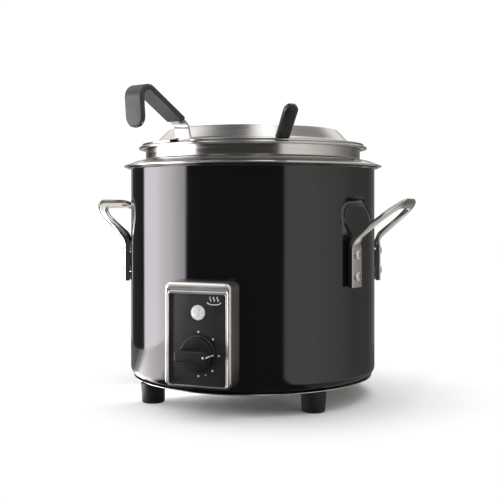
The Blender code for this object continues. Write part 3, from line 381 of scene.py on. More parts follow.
def spunSteel(name, colour=(0.62, 0.605, 0.585), roughness=0.2, depth=0.05):
    # satin stainless whose brush lines run round the kettle
    finish, nodes, shader = startFinish(name, colour, roughness, 1.0)
    about = roundAboutVector(nodes)
    lines = noiseAt(nodes, stretched(nodes, about, (2600, 3, 2600)), 1, 4)
    broad = noiseAt(nodes, stretched(nodes, about, (260, 1.2, 260)), 1, 3)
    brushed(nodes, shader, lines, broad, colour, roughness, depth)
    return finish


def drawnSteel(name, along, colour, roughness, depth):
    # stainless with straight brush lines along one direction of the sheet
    finish, nodes, shader = startFinish(name, colour, roughness, 1.0)
    place = placeOf(nodes)
    scale = tuple(40 if axis == along else 2400 for axis in "XYZ")
    lines = noiseAt(nodes, stretched(nodes, place, scale), 1, 4)
    brushed(nodes, shader, lines, noiseAt(nodes, place, 30, 3), colour, roughness, depth)
    return finish


def mouldedPlastic(name, colour, roughness, grain=900, depth=0.15):
    # moulded or dipped surface: fine grain with slightly uneven gloss
    finish, nodes, shader = startFinish(name, colour, roughness)
    place = placeOf(nodes)
    fine = noiseAt(nodes, place, grain, 2)
    broad = noiseAt(nodes, place, 60, 3)
    spread(nodes, broad, roughness - 0.05, roughness + 0.06, shader.inputs["Roughness"])
    tintSpread(nodes, broad, tuple(c * 0.85 for c in colour),
               tuple(min(c * 1.2, 1) for c in colour), shader.inputs["Base Color"])
    bumpFrom(nodes, fine, shader, depth, 0.03 * mm)
    return finish


def clearLens():
    finish, nodes, shader = startFinish("pilotLensPlastic", (0.82, 0.82, 0.80), 0.12,
                                        Coat_Weight=0.6, Coat_Roughness=0.05)
    place = placeOf(nodes)
    cloud = noiseAt(nodes, place, 260, 2)
    tintSpread(nodes, cloud, (0.62, 0.62, 0.62), (0.92, 0.92, 0.90),
               shader.inputs["Base Color"])
    bumpFrom(nodes, cloud, shader, 0.35, 0.2 * mm)
    return finish


def mineralWool():
    finish, nodes, shader = startFinish("mineralWool", (0.55, 0.50, 0.38), 0.95)
    place = placeOf(nodes)
    fibre = noiseAt(nodes, place, 700, 6)
    tintSpread(nodes, fibre, (0.36, 0.32, 0.22), (0.66, 0.61, 0.48),
               shader.inputs["Base Color"])
    bumpFrom(nodes, fibre, shader, 0.8, 0.6 * mm)
    return finish


def makeFinishes():
    finishes = {
        "enamel": blackEnamel(),
        "spun": spunSteel("spunStainless", roughness=0.16),
        "spunPan": spunSteel("panStainless", roughness=0.17),
        "bright": drawnSteel("polishedStainless", "X", (0.70, 0.685, 0.665), 0.16, 0.02),
        "bezel": drawnSteel("bezelStainless", "Z", (0.80, 0.78, 0.75), 0.30, 0.03),
        "strap": drawnSteel("strapStainless", "Z", (0.60, 0.585, 0.565), 0.22, 0.05),
        "handle": drawnSteel("handleStainless", "Y", (0.66, 0.64, 0.615), 0.12, 0.04),
        "panel": mouldedPlastic("charcoalPanel", (0.020, 0.020, 0.022), 0.42, 1500, 0.10),
        "knob": mouldedPlastic("knobPlastic", (0.011, 0.011, 0.012), 0.36, 1200, 0.08),
        "dip": mouldedPlastic("dippedVinyl", (0.030, 0.030, 0.033), 0.46, 500, 0.12),
        "leverGrip": mouldedPlastic("leverGripPlastic", (0.008, 0.008, 0.009), 0.22, 300, 0.10),
        "rubber": mouldedPlastic("footRubber", (0.010, 0.010, 0.010), 0.55, 1100, 0.25),
        "print": mouldedPlastic("panelPrint", (0.72, 0.72, 0.70), 0.5, 1500, 0.05),
        "lens": clearLens(),
        "brass": drawnSteel("brassRod", "Y", (0.72, 0.50, 0.22), 0.28, 0.05),
        "wool": mineralWool(),
        "sheath": drawnSteel("heaterSheath", "Z", (0.20, 0.18, 0.16), 0.45, 0.1),
        "lead": mouldedPlastic("leadInsulation", (0.42, 0.40, 0.36), 0.6, 800, 0.2),
    }
    for key, finish in finishes.items():
        finish["slot"] = slotNames.get(key, "satin_stainless")
    return finishes


# the record's slot of each finish; every other one is satin stainless
slotNames = {
    "enamel": "gloss_black_enamel", "bright": "polished_stainless", "bezel": "polished_stainless",
    "panel": "charcoal_panel", "knob": "black_plastic", "dip": "black_grip",
    "leverGrip": "black_grip", "rubber": "black_rubber", "print": "white_mark",
    "lens": "clear_lens", "brass": "brass", "wool": "mineral_wool", "sheath": "heater_sheath",
    "lead": "lead_insulation",
}
finishes = makeFinishes()
print("finishes made:", len(finishes))


lilac, cream, plain = (1.0, 0.955, 1.0), (1.0, 0.972, 0.94), (1, 1, 1)
studio = {
    "azimuth": 20.4, "distance": 1.155, "height": 0.2137, "lens": 65.16,
    "shiftX": -0.0056, "shiftY": -0.0894,
    "brightest": 7.0, "shadeMiddle": (0.07, 0.06), "shadeFrom": 0.16, "shadeTo": 0.36,
    "tableHalf": (0.31, 0.36), "tableMiddle": (-0.11, 0.06),
    "topSize": 1.6, "topEnergy": 22, "topPlace": (0.1, 0.3, 1.7),
    # light round the kettle: (degrees to the right of the camera, tint, level)
    "level": [
        (-180, cream, 0.40), (-158, cream, 0.45), (-150, plain, 0.05), (-121, plain, 0.05),
        (-118.5, lilac, 4.34), (-100, lilac, 7.0), (-80, lilac, 6.58), (-64, lilac, 4.34),
        (-62, plain, 0.05), (27, plain, 0.05), (30, plain, 0.90), (52, cream, 0.93),
        (79, cream, 0.66), (91, cream, 0.52), (106, cream, 0.30), (134, cream, 0.13),
        (149, cream, 0.16), (165, cream, 0.28), (180, cream, 0.40)],
    "dim": [
        (-180, cream, 1.1), (-125, cream, 1.1), (-100, plain, 0.6), (-60, plain, 0.5),
        (-40, plain, 0.25), (60, plain, 0.6), (110, cream, 0.6), (130, cream, 0.9),
        (180, cream, 1.1)],
    "table": [
        (-180, cream, 0.4), (-150, lilac, 0.14), (-114, lilac, 0.28), (-104, lilac, 1.12),
        (-96, lilac, 4.2), (-70, lilac, 4.62), (-60, plain, 0.05), (28, plain, 0.05),
        (33, cream, 0.28), (130, cream, 0.12), (180, cream, 0.4)],
    # light overhead: here -180 is the far left and 180 the far right
    "overhead": [
        (-180, cream, 1.5), (-88, plain, 1.8), (-77, plain, 0.85), (-61, plain, 0.27),
        (-35, plain, 0.14), (-10, plain, 0.24), (6, plain, 1.3), (27, plain, 2.0),
        (42, plain, 1.5), (58, cream, 0.4), (88, cream, 0.3), (96, cream, 0.9),
        (180, cream, 0.9)],
}


def makeCamera():
    data = bpy.data.cameras.new("camera")
    data.lens = studio["lens"]
    data.sensor_width = 36
    data.shift_x, data.shift_y = studio["shiftX"], studio["shiftY"]
    data.clip_start = 0.01
    camera = bpy.data.objects.new("camera", data)
    bpy.context.scene.collection.objects.link(camera)
    camera.location = outwards(studio["azimuth"]) * studio["distance"]
    camera.location.z = studio["height"]
    camera.rotation_euler = (pi / 2, 0, radians(studio["azimuth"]))
    bpy.context.scene.camera = camera


def ringOfLight(nodes, around, stops):
    # colours along a ramp from stops, as shares of the brightest light
    ramp = addNode(nodes, "ValToRGB")
    join(around, ramp.inputs["Fac"])
    elements = ramp.color_ramp.elements
    for i, (angle, tint, level) in enumerate(stops):
        if i == 0:
            element = elements[0]
        elif i == len(stops) - 1:
            element = elements[len(elements) - 1]
        else:
            element = elements.new(angle / 360 + 0.5)
        element.color = (*[c * level / studio["brightest"] for c in tint], 1)
    return ramp.outputs["Color"]


def aroundKettle(nodes, vector):
    # how far round the kettle a direction or place lies, with the camera's side in the middle
    mapping = addNode(nodes, "Mapping", Rotation=(0, 0, radians(90 - studio["azimuth"])))
    join(vector, mapping.inputs["Vector"])
    gradient = addNode(nodes, "TexGradient", gradient_type="RADIAL")
    join(mapping.outputs["Vector"], gradient.inputs["Vector"])
    return gradient.outputs["Color"]


def mixByHeight(nodes, rise, start, end, below, above):
    blend = addNode(nodes, "Mix", data_type="RGBA")
    join(shareBetween(nodes, rise, start, end), blend.inputs["Factor"])
    join(below, blend.inputs[6])
    join(above, blend.inputs[7])
    return blend.outputs[2]


def lightRings(nodes, directions):
    # a tall softbox on the left and a pale wall on the right, a dim band over them, and a ceiling
    # that changes from side to side; the dim band comes back far below
    around = aroundKettle(nodes, directions)
    level = ringOfLight(nodes, around, studio["level"])
    dim = ringOfLight(nodes, around, studio["dim"])
    turnedPlace = addNode(nodes, "Mapping", Rotation=(0, 0, -radians(studio["azimuth"])))
    join(directions, turnedPlace.inputs["Vector"])
    parts = addNode(nodes, "SeparateXYZ")
    join(turnedPlace.outputs["Vector"], parts.inputs["Vector"])
    across = shareBetween(nodes, parts.outputs["X"], -1, 1)
    overhead = ringOfLight(nodes, across, studio["overhead"])
    rise = parts.outputs["Z"]
    lower = mixByHeight(nodes, rise, 0.20, 0.32, level, dim)
    lower = mixByHeight(nodes, rise, -0.38, -0.27, dim, lower)
    return mixByHeight(nodes, rise, 0.50, 0.66, lower, overhead)


def makeWorld():
    world = bpy.data.worlds.new("studio")
    bpy.context.scene.world = world
    world.use_nodes = True
    nodes = world.node_tree.nodes
    nodes.clear()
    glow = addNode(nodes, "Background", Strength=studio["brightest"])
    join(lightRings(nodes, addNode(nodes, "TexCoord").outputs["Generated"]), glow.inputs["Color"])
    white = addNode(nodes, "Background", Color=(1, 1, 1, 1), Strength=1.1)
    rays = addNode(nodes, "LightPath")
    both = addNode(nodes, "MixShader")
    join(rays.outputs["Is Camera Ray"], both.inputs["Fac"])
    join(glow.outputs["Background"], both.inputs[1])
    join(white.outputs["Background"], both.inputs[2])
    join(both.outputs["Shader"], addNode(nodes, "OutputWorld").inputs["Surface"])
    bpy.context.scene.view_settings.view_transform = "Standard"


def makeFloor():
    # the floor takes soft shadows near the kettle and fades to clear white further out
    s = studio
    finish, nodes, shader = startFinish("paleFloor", (0.86, 0.86, 0.86), 0.7)
    fromShade = addNode(nodes, "VectorMath", operation="DISTANCE")
    fromShade.inputs[1].default_value = (*s["shadeMiddle"], cadLow.z)
    join(placeOf(nodes), fromShade.inputs[0])
    fade = addNode(nodes, "MapRange", interpolation_type="SMOOTHSTEP",
                   From_Min=s["shadeFrom"], From_Max=s["shadeTo"])
    join(fromShade.outputs["Value"], fade.inputs["Value"])
    glow = addNode(nodes, "Emission", Color=(1, 1, 1, 1), Strength=1.02)
    both = addNode(nodes, "MixShader")
    join(fade.outputs["Result"], both.inputs["Fac"])
    join(shader.outputs["BSDF"], both.inputs[1])
    join(glow.outputs["Emission"], both.inputs[2])
    join(both.outputs["Shader"], nodes["Material Output"].inputs["Surface"])
    floor = flatStage("floor", 6.0, 6.0, Vector((0, 0)), cadLow.z, finish)
    floor.visible_glossy = False


def makeTableGlow():
    # what polished sides mirror of the lit table: bright beside the softbox, dim elsewhere
    glow = bpy.data.materials.new("tableGlow")
    glow.use_nodes = True
    nodes = glow.node_tree.nodes
    nodes.clear()
    tint = ringOfLight(nodes, aroundKettle(nodes, placeOf(nodes)), studio["table"])
    light = addNode(nodes, "Emission", Strength=studio["brightest"])
    join(tint, light.inputs["Color"])
    join(light.outputs["Emission"], addNode(nodes, "OutputMaterial").inputs["Surface"])
    table = flatStage("tableTop", *studio["tableHalf"], Vector(studio["tableMiddle"]),
                      cadLow.z + 0.2 * mm, glow)
    table.visible_camera = False
    table.visible_diffuse = False
    table.visible_shadow = False


def flatStage(name, halfX, halfY, middle, height, finish):
    mesh = bpy.data.meshes.new(name)
    corners = [(middle.x + x * halfX, middle.y + y * halfY, height)
               for x, y in ((-1, -1), (1, -1), (1, 1), (-1, 1))]
    mesh.from_pydata(corners, [], [(0, 1, 2, 3)])
    mesh.materials.append(finish)
    piece = bpy.data.objects.new(name, mesh)
    bpy.context.scene.collection.objects.link(piece)
    return piece


def makeTopLight():
    data = bpy.data.lights.new("topLight", "AREA")
    data.shape = "SQUARE"
    data.size = studio["topSize"]
    data.energy = studio["topEnergy"]
    light = bpy.data.objects.new("topLight", data)
    bpy.context.scene.collection.objects.link(light)
    light.location = studio["topPlace"]
    light.visible_camera = False
    light.visible_glossy = False


makeCamera()
makeWorld()
makeFloor()
makeTableGlow()
makeTopLight()
print("camera, floor and lights set")


shell = {"flange": 4.5 * mm, "wall": 1.2 * mm, "cornerRadius": 10.5 * mm, "lipRadius": 142.6 * mm,
         "windowWidth": 50 * mm, "windowHeight": 86 * mm, "windowBottom": 27.7 * mm,
         "glandHole": 8.4 * mm, "seamInside": 145.6 * mm, "seamEdge": 0.4 * mm}
shellLow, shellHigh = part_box("outer_shell")
shellRadius = shellHigh.x - shell["flange"]


def makeShell():
    s = shell
    body = turned("shellSkin", sheetOutline([
        (s["lipRadius"], shellLow.z), (shellRadius, shellLow.z, s["cornerRadius"]),
        (shellRadius, shellHigh.z - s["wall"], 1.6 * mm),
        (shellHigh.x - 0.1 * mm, shellHigh.z - s["wall"])],
        s["wall"], 10), finishes["enamel"], "kettle", ["outer_shell"], 256)
    cutAway(body, boxTool((s["windowWidth"], 60 * mm, s["windowHeight"]),
                          (0, -shellRadius, s["windowBottom"] + s["windowHeight"] / 2)))
    glandLow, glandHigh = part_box("cord_gland")
    cutAway(body, cylinder(s["glandHole"], -20 * mm, 20 * mm,
                           facingPlace(180, shellRadius, (glandLow.z + glandHigh.z) / 2)))
    low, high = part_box("seam_ring")
    middle, edge = (low.z + high.z) / 2, high.x - s["seamEdge"]
    turned("seamRing", roundCorners([
        (s["seamInside"], low.z), (edge, low.z, 0.35 * mm), (high.x, middle, 0.5 * mm),
        (edge, high.z, 0.35 * mm), (s["seamInside"], high.z)], 4),
        finishes["bright"], "kettle", ["seam_ring"], 256)


base = {"wall": 1.2 * mm, "dishRadius": 90 * mm, "dishDraft": 2 * mm, "bend": 1.5 * mm}


def makeBase():
    b = base
    low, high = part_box("base_plate")
    top = high.z - b["wall"]
    turned("basePlate", sheetOutline([
        (0, low.z), (b["dishRadius"], low.z, b["bend"]),
        (b["dishRadius"] + b["dishDraft"], top, b["bend"]), (high.x, top)],
        b["wall"], 5), finishes["spun"], "kettle", ["base_plate"], 192)


foot = {"pocketRadius": 5.5 * mm, "pocketDepth": 11 * mm, "endRadius": 13.5 * mm,
        "topRadius": 15 * mm, "holeRadius": 2.4 * mm, "headRadius": 4.2 * mm, "headHeight": 2.8 * mm,
        "screwRadius": 2 * mm, "crossSlot": (4.4 * mm, 0.9 * mm, 2.4 * mm)}


def makeFeet():
    f = foot
    for number in range(1, 5):
        low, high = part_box(f"foot_{number}")
        middle = (low + high) / 2
        place = Matrix.Translation(Vector((middle.x, middle.y, 0)))
        pocketTop = low.z + f["pocketDepth"]
        turned(f"rubberFoot{number}", roundCorners([
            (f["pocketRadius"], low.z), (f["endRadius"], low.z, 2.2 * mm),
            (f["topRadius"] - 0.35 * mm, high.z - 4 * mm, 1 * mm),
            (f["topRadius"] - 0.55 * mm, high.z - 3.4 * mm, 0.3 * mm),
            (f["topRadius"], high.z - 2.8 * mm, 0.5 * mm), (f["topRadius"], high.z, 0.5 * mm),
            (f["holeRadius"], high.z), (f["holeRadius"], pocketTop),
            (f["pocketRadius"], pocketTop)], 5),
            finishes["rubber"], "kettle", [f"foot_{number}"], 64, place)
        makeFootScrew(number, place)


def makeFootScrew(number, place):
    f = foot
    low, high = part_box(f"foot_screw_{number}")
    seat = low.z + f["headHeight"]
    screw = turned(f"footScrew{number}", roundCorners([
        (0, low.z), (f["headRadius"] * 0.75, low.z, 1.2 * mm), (f["headRadius"], seat, 0.2 * mm),
        (f["screwRadius"], seat), (f["screwRadius"], high.z - 0.4 * mm),
        (f["screwRadius"] - 0.4 * mm, high.z), (0, high.z)], 4),
        finishes["bright"], "kettle", [f"foot_screw_{number}"], 32, place)
    for turn in (0, 90):
        slot = place @ Matrix.Rotation(radians(turn), 4, "Z")
        cutAway(screw, boxTool(f["crossSlot"], (0, 0, low.z), slot))


makeShell()
makeBase()
makeFeet()
print("shell, base and feet made")


pan = {"wall": 1 * mm, "hem": 5 * mm, "crestRadius": 141 * mm, "wellRadius": 133.4 * mm,
       "cornerRadius": 10 * mm, "gap": 0.3 * mm, "edgeHeight": 2.2 * mm}


def makePan():
    p = pan
    low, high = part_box("water_pan")
    under = shellHigh.z + p["gap"]
    turned("panRim", sheetOutline([
        (high.x - p["hem"], under), (high.x, under, 0.9 * mm),
        (high.x, shellHigh.z + p["edgeHeight"], 1.0 * mm),
        (p["crestRadius"] + 6 * mm, high.z - 1.2 * mm, 12 * mm),
        (p["crestRadius"] - 2 * mm, high.z, 7 * mm), (p["wellRadius"], high.z, 2.2 * mm),
        (p["wellRadius"], low.z + p["wall"], p["cornerRadius"]), (0, low.z + p["wall"])],
        p["wall"], 8), finishes["spunPan"], "kettle", ["water_pan"], 256)


inset = {"wall": 0.9 * mm, "lip": 9.6 * mm, "lipHeight": 3 * mm, "lipReturn": 2.2 * mm,
         "shoulder": 5.6 * mm,
         "neckHeight": 15.3 * mm, "cornerRadius": 9 * mm}


def makeInset():
    s = inset
    low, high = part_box("inset")
    neck = high.x - s["lip"]
    wall = neck - s["shoulder"]
    step = high.z - s["neckHeight"]
    turned("insetPot", sheetOutline([
        (neck + s["lipReturn"], high.z - s["lipHeight"]),
        (high.x, high.z - s["lipHeight"], 1.35 * mm), (high.x, high.z, 1.35 * mm),
        (neck, high.z, 1.1 * mm), (neck, step, 1.2 * mm), (wall, step, 1.2 * mm),
        (wall, low.z + s["wall"], s["cornerRadius"]), (0, low.z + s["wall"])],
        s["wall"], 8), finishes["spun"], "inset", ["inset"], 256)


makePan()
makeInset()
print("water pan and inset made")


lid = {"flapAzimuth": 34.4, "notchAzimuth": -16.7, "notchWidth": 32.5 * mm, "notchCorner": 5 * mm,
       "wall": 1.2 * mm, "edgeHeight": 3.4 * mm, "hem": 4 * mm, "crownFootRadius": 122 * mm,
       "crownFootRise": 5.9 * mm, "crownRadius": 107 * mm, "split": 0.8 * mm, "fromLip": 4 * mm}
lidLow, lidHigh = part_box("lid_rear")
insetLow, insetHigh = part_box("inset")
lidRadius = insetHigh.x - lid["fromLip"]


def lidOutline():
    s = lid
    return sheetOutline([
        (lidRadius - s["hem"], lidLow.z), (lidRadius, lidLow.z, 1.4 * mm),
        (lidRadius, lidLow.z + s["edgeHeight"], 1.4 * mm),
        (s["crownFootRadius"], lidLow.z + s["crownFootRise"], 4 * mm),
        (s["crownRadius"], lidHigh.z, 4.5 * mm), (0, lidHigh.z)], s["wall"], 8)


def makeLidHalves():
    s = lid
    place = radialPlace(s["flapAzimuth"])
    reach = lidRadius + 20 * mm
    middle = (lidLow.z + lidHigh.z) / 2
    rear = turned("lidRear", lidOutline(), finishes["spun"], "lid", ["lid_rear"], 256)
    cutAway(rear, boxTool((reach, 2 * reach, 60 * mm), (reach / 2 - s["split"] / 2, 0, middle), place))
    flap = turned("lidFlap", lidOutline(), finishes["spun"], "flap", ["lid_flap"], 256)
    cutAway(flap, boxTool((reach, 2 * reach, 60 * mm), (s["split"] / 2 - reach / 2, 0, middle), place))
    slot = radialPlace(s["notchAzimuth"])
    cutAway(flap, boxTool((60 * mm, s["notchWidth"], 60 * mm),
                          (s["crownFootRadius"] + 30 * mm, 0, middle), slot, s["notchCorner"]))


hinge = {"length": 196 * mm, "barrel": 3.25 * mm, "pin": 1.5 * mm, "bore": 1.8 * mm,
         "leaf": 13 * mm, "wall": 1.2 * mm, "knuckles": 5, "gap": 0.5 * mm,
         "welds": 6}


def makeHinge():
    h = hinge
    place = radialPlace(lid["flapAzimuth"])
    low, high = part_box("hinge_leaf_rear")
    axisZ = high.z - h["barrel"]
    near = h["barrel"] + 0.8 * mm
    step = h["length"] / h["knuckles"]
    for node, name, body, side, first in (("hinge_leaf_rear", "hingeLeafRear", "lid", -1, 0),
                                          ("hinge_leaf_flap", "hingeLeafFlap", "flap", 1, 1)):
        ring = [p + Vector((side * (h["leaf"] + near) / 2, 0))
                for p in roundRect(h["leaf"] - near, h["length"], 2 * mm, 5)]
        leaf = stacked(name, ring, edgeLevels(low.z, low.z + h["wall"], 0.3 * mm, 3),
                       finishes["handle"], body, [node], place)
        for k in range(first, h["knuckles"], 2):
            length = step - h["gap"]
            middle = -h["length"] / 2 + (k + 0.5) * step
            across = place @ Matrix.Translation((0, middle, axisZ)) @ Matrix.Rotation(pi / 2, 4, "X")
            knuckle = turned("tool", roundCorners([
                (0, -length / 2), (h["barrel"], -length / 2, 0.4 * mm),
                (h["barrel"], length / 2, 0.4 * mm), (0, length / 2)], 3),
                None, around=40, place=across)
            cutAway(leaf, knuckle, "UNION")
            cutAway(leaf, boxTool((near + 2 * mm, length, h["wall"]),
                                  (side * (near + 2 * mm) / 2, middle, low.z + h["wall"] / 2), place),
                    "UNION")
        axis = place @ Matrix.Translation((0, 0, axisZ)) @ Matrix.Rotation(pi / 2, 4, "X")
        cutAway(leaf, cylinder(h["bore"], -h["length"], h["length"], axis, 32))
        for k in range(h["welds"]):  # spot weld dimples along the leaf
            along = (k - (h["welds"] - 1) / 2) * h["length"] / h["welds"]
            spot = place @ Matrix.Translation((side * (near + h["leaf"]) / 2, along,
                                               low.z + h["wall"] + 0.9 * mm))
            dimple = [(0, -1.2 * mm), (0.9 * mm, -1.0 * mm), (1.6 * mm, -0.6 * mm),
                      (2.1 * mm, 0.2 * mm), (0, 0.2 * mm)]
            cutAway(leaf, turned("tool", dimple, None, around=20, place=spot))
    half = h["length"] / 2 + 1 * mm
    axis = place @ Matrix.Translation((0, 0, axisZ)) @ Matrix.Rotation(pi / 2, 4, "X")
    turned("hingePin", roundCorners([
        (0, -half), (h["pin"], -half, 0.6 * mm), (h["pin"], half, 0.6 * mm), (0, half)], 4),
        finishes["bright"], "lid", ["hinge_pin"], 32, axis)


lever = {"width": 10 * mm, "wall": 2 * mm, "foot": 14 * mm, "slope": 39, "length": 45.5 * mm,
         "gripLength": 50.5 * mm, "gripWidth": 16.5 * mm, "gripThick": 8.5 * mm, "bend": 4 * mm,
         "gripTip": 4 * mm, "gap": 0.3 * mm, "fromEdge": 1.5 * mm, "rivetShares": (0.36, 0.82)}


def sweptStrap(name, path, section, finish, body, stands, place, sizes=None, sharp=32):
    # a closed (across, out) section swept along a path in the local XZ plane
    rings = []
    for i, here in enumerate(path):
        ahead = (path[min(i + 1, len(path) - 1)] - path[min(i, len(path) - 2)]).normalized()
        behind = (path[max(i, 1)] - path[max(i - 1, 0)]).normalized()
        side = Vector((-ahead.y - behind.y, ahead.x + behind.x)).normalized()
        stretch = side.dot(Vector((-ahead.y, ahead.x)))
        wide, thick = sizes[i] if sizes else (1, 1)
        rings.append([place @ Vector((here.x + side.x * p.y * thick / stretch, p.x * wide,
                                      here.y + side.y * p.y * thick / stretch)) for p in section])
    return lofted(name, rings, finish, body, stands, sharp)


def walk(path, start, end, count):
    # evenly spaced points of a path between two distances along it
    lengths = [0.0]
    for a, b in zip(path, path[1:]):
        lengths.append(lengths[-1] + (b - a).length)
    found = []
    for k in range(count):
        want = start + (end - start) * k / (count - 1)
        i = max(j for j in range(len(path) - 1) if lengths[j] <= want or j == 0)
        share = (want - lengths[i]) / (lengths[i + 1] - lengths[i])
        found.append(path[i].lerp(path[i + 1], share))
    return found


def tipSizes(path, roundTip, soften):
    # width and thickness shares that end a grip in a half-round tip, with softened edges
    total = sum((b - a).length for a, b in zip(path, path[1:]))
    sizes, run = [], 0.0
    for i, here in enumerate(path):
        run += (here - path[i - 1]).length if i else 0
        left, begun = total - run, run
        wide = 1.0
        if left < roundTip:
            wide = max((1 - (1 - left / roundTip) ** 2) ** 0.5, 0.12)
        thick = 1.0
        if left < soften:
            thick = max((1 - (1 - left / soften) ** 2) ** 0.5, 0.15)
        if begun < soften * 0.6:
            share = (1 - (1 - begun / (soften * 0.6)) ** 2) ** 0.5
            wide = min(wide, 0.95 + 0.05 * share)
            thick = min(thick, 0.78 + 0.22 * share)
        sizes.append((wide, thick))
    return sizes


def makeLever():
    s = lever
    place = radialPlace(lid["flapAzimuth"])
    edge, crownFoot = lid["edgeHeight"], lid["crownFootRise"]
    slant = atan2(crownFoot - edge, lidRadius - lid["crownFootRadius"])
    rise = Vector((-cos(slant), sin(slant)))
    normal = Vector((sin(slant), cos(slant)))
    corner = Vector((lidRadius - s["fromEdge"], lidLow.z + edge + s["gap"]))
    corner += normal * (s["wall"] / 2 + s["gap"])
    lean = Vector((cos(radians(s["slope"])), sin(radians(s["slope"]))))
    tip = corner + lean * s["length"]
    path = roundCorners([tuple(corner + rise * s["foot"]), (*corner, s["bend"]), tuple(tip)], 10)
    section = roundRect(s["width"], s["wall"], 0.5 * mm, 4)
    sweptStrap("leverStem", path, section, finishes["handle"], "flap", ["flap_lever"], place)
    end = tip + lean * s["gripTip"]
    begin = end - lean * s["gripLength"]
    line = walk([begin, end], 0, s["gripLength"], 40)
    section = roundRect(s["gripWidth"], s["gripThick"], s["gripThick"] * 0.44, 8)
    sweptStrap("leverGrip", line, section, finishes["leverGrip"], "flap", ["lever_grip"], place,
               tipSizes(line, s["gripWidth"] * 0.5, 3 * mm), 50)
    for number, share in enumerate(s["rivetShares"], 1):
        spot = corner + rise * s["foot"] * share
        at = place @ Matrix.Translation((spot.x, 0, spot.y)) @ Matrix.Rotation(slant, 4, "Y")
        top = s["wall"] / 2 + s["gap"]
        turned(f"leverRivet{number}", roundCorners([
            (0, -4.3 * mm), (1.6 * mm, -4.3 * mm, 0.3 * mm), (1.6 * mm, top), (2.8 * mm, top, 0.2 * mm),
            (2.4 * mm, top + 0.8 * mm, 0.8 * mm), (1.2 * mm, top + 1.35 * mm, 1 * mm),
            (0, top + 1.4 * mm)], 4), finishes["bright"], "flap", [f"lever_rivet_{number}"], 28, at)


makeLidHalves()
makeHinge()
makeLever()
print("lid made")


ladle = {"azimuth": -17.1, "crossRadius": 130 * mm, "tilt": 16, "width": 22.5 * mm, "wall": 2.3 * mm,
         "bowlRadius": 44.5 * mm, "bowlDepth": 35 * mm, "bowlWall": 1.5 * mm, "floorGap": 4 * mm,
         "bendRise": 20.2 * mm, "reach": 77.8 * mm, "reachRise": 45.4 * mm, "hookDrop": 50 * mm,
         "hookLean": 4 * mm, "hookRadius": 11 * mm, "bendRadius": 14 * mm,
         "gripWidth": 27 * mm, "gripThick": 6.5 * mm, "gripStart": 10 * mm, "gripTip": 4 * mm}


def makeLadle():
    s = ladle
    place = radialPlace(s["azimuth"])
    slope = tan(radians(s["tilt"]))
    rimZ = insetLow.z + inset["wall"] + s["floorGap"] + s["bowlDepth"]
    low = Vector((s["crossRadius"] - (lidLow.z - rimZ + 6 * mm) * slope, rimZ - 6 * mm))
    bend = Vector((s["crossRadius"] + s["bendRise"] * slope, lidLow.z + s["bendRise"]))
    top = bend + Vector((s["reach"], s["reachRise"]))
    end = top + Vector((-s["hookLean"], -s["hookDrop"]))
    path = roundCorners([tuple(low), (*bend, s["bendRadius"]), (*top, s["hookRadius"]), tuple(end)], 16)
    sweptStrap("ladleStrap", path, roundRect(s["width"], s["wall"], 0.7 * mm, 4), finishes["strap"],
               "ladle", ["ladle_handle"], place)
    leg = (top - bend).normalized()
    drop = (end - top).normalized()
    start = bend + leg * s["gripStart"]
    line = roundCorners([tuple(start), (*top, s["hookRadius"]), tuple(end + drop * s["gripTip"])], 24)
    total = sum((b - a).length for a, b in zip(line, line[1:]))
    line = walk(line, 0, total, 110)
    sweptStrap("ladleGrip", line, roundRect(s["gripWidth"], s["gripThick"], s["gripThick"] * 0.44, 8),
               finishes["dip"], "ladle", ["ladle_grip"], place,
               tipSizes(line, s["gripWidth"] * 0.5, 3 * mm), 50)
    makeBowl(place, rimZ, slope)


def makeBowl(place, rimZ, slope):
    s = ladle
    touch = s["crossRadius"] - (lidLow.z - rimZ) * slope - s["wall"] / 2 / cos(radians(s["tilt"]))
    centre = touch - s["bowlRadius"] - 2.2 * mm
    steps = 24
    inside = s["bowlRadius"] - s["bowlWall"]
    outer = [Vector((s["bowlRadius"] * sin(pi / 2 * k / steps),
                     rimZ - s["bowlDepth"] * cos(pi / 2 * k / steps))) for k in range(steps + 1)]
    inner = [Vector((inside * sin(pi / 2 * k / steps),
                     rimZ - (s["bowlDepth"] - s["bowlWall"]) * cos(pi / 2 * k / steps)))
             for k in range(steps, -1, -1)]
    turned("ladleBowl", outer + inner, finishes["spun"], "ladle", ["ladle_bowl"], 96,
           place @ Matrix.Translation((centre, 0, 0)))


makeLadle()
print("ladle made")


handle = {"legAzimuth": 21.3, "legWidth": 20 * mm, "legBottom": 118.7 * mm, "bendZ": 164.1 * mm,
          "stand": 8 * mm, "bendRadius": 16 * mm, "armSlope": 40, "reach": 45.5 * mm,
          "gripWidth": 15.5 * mm, "cornerRadius": 36 * mm, "depth": 6.2 * mm, "wall": 1.6 * mm,
          "rivetHeights": (131.2 * mm, 156.4 * mm),
          "rivetRadius": 5.25 * mm, "rivetHeight": 3 * mm}


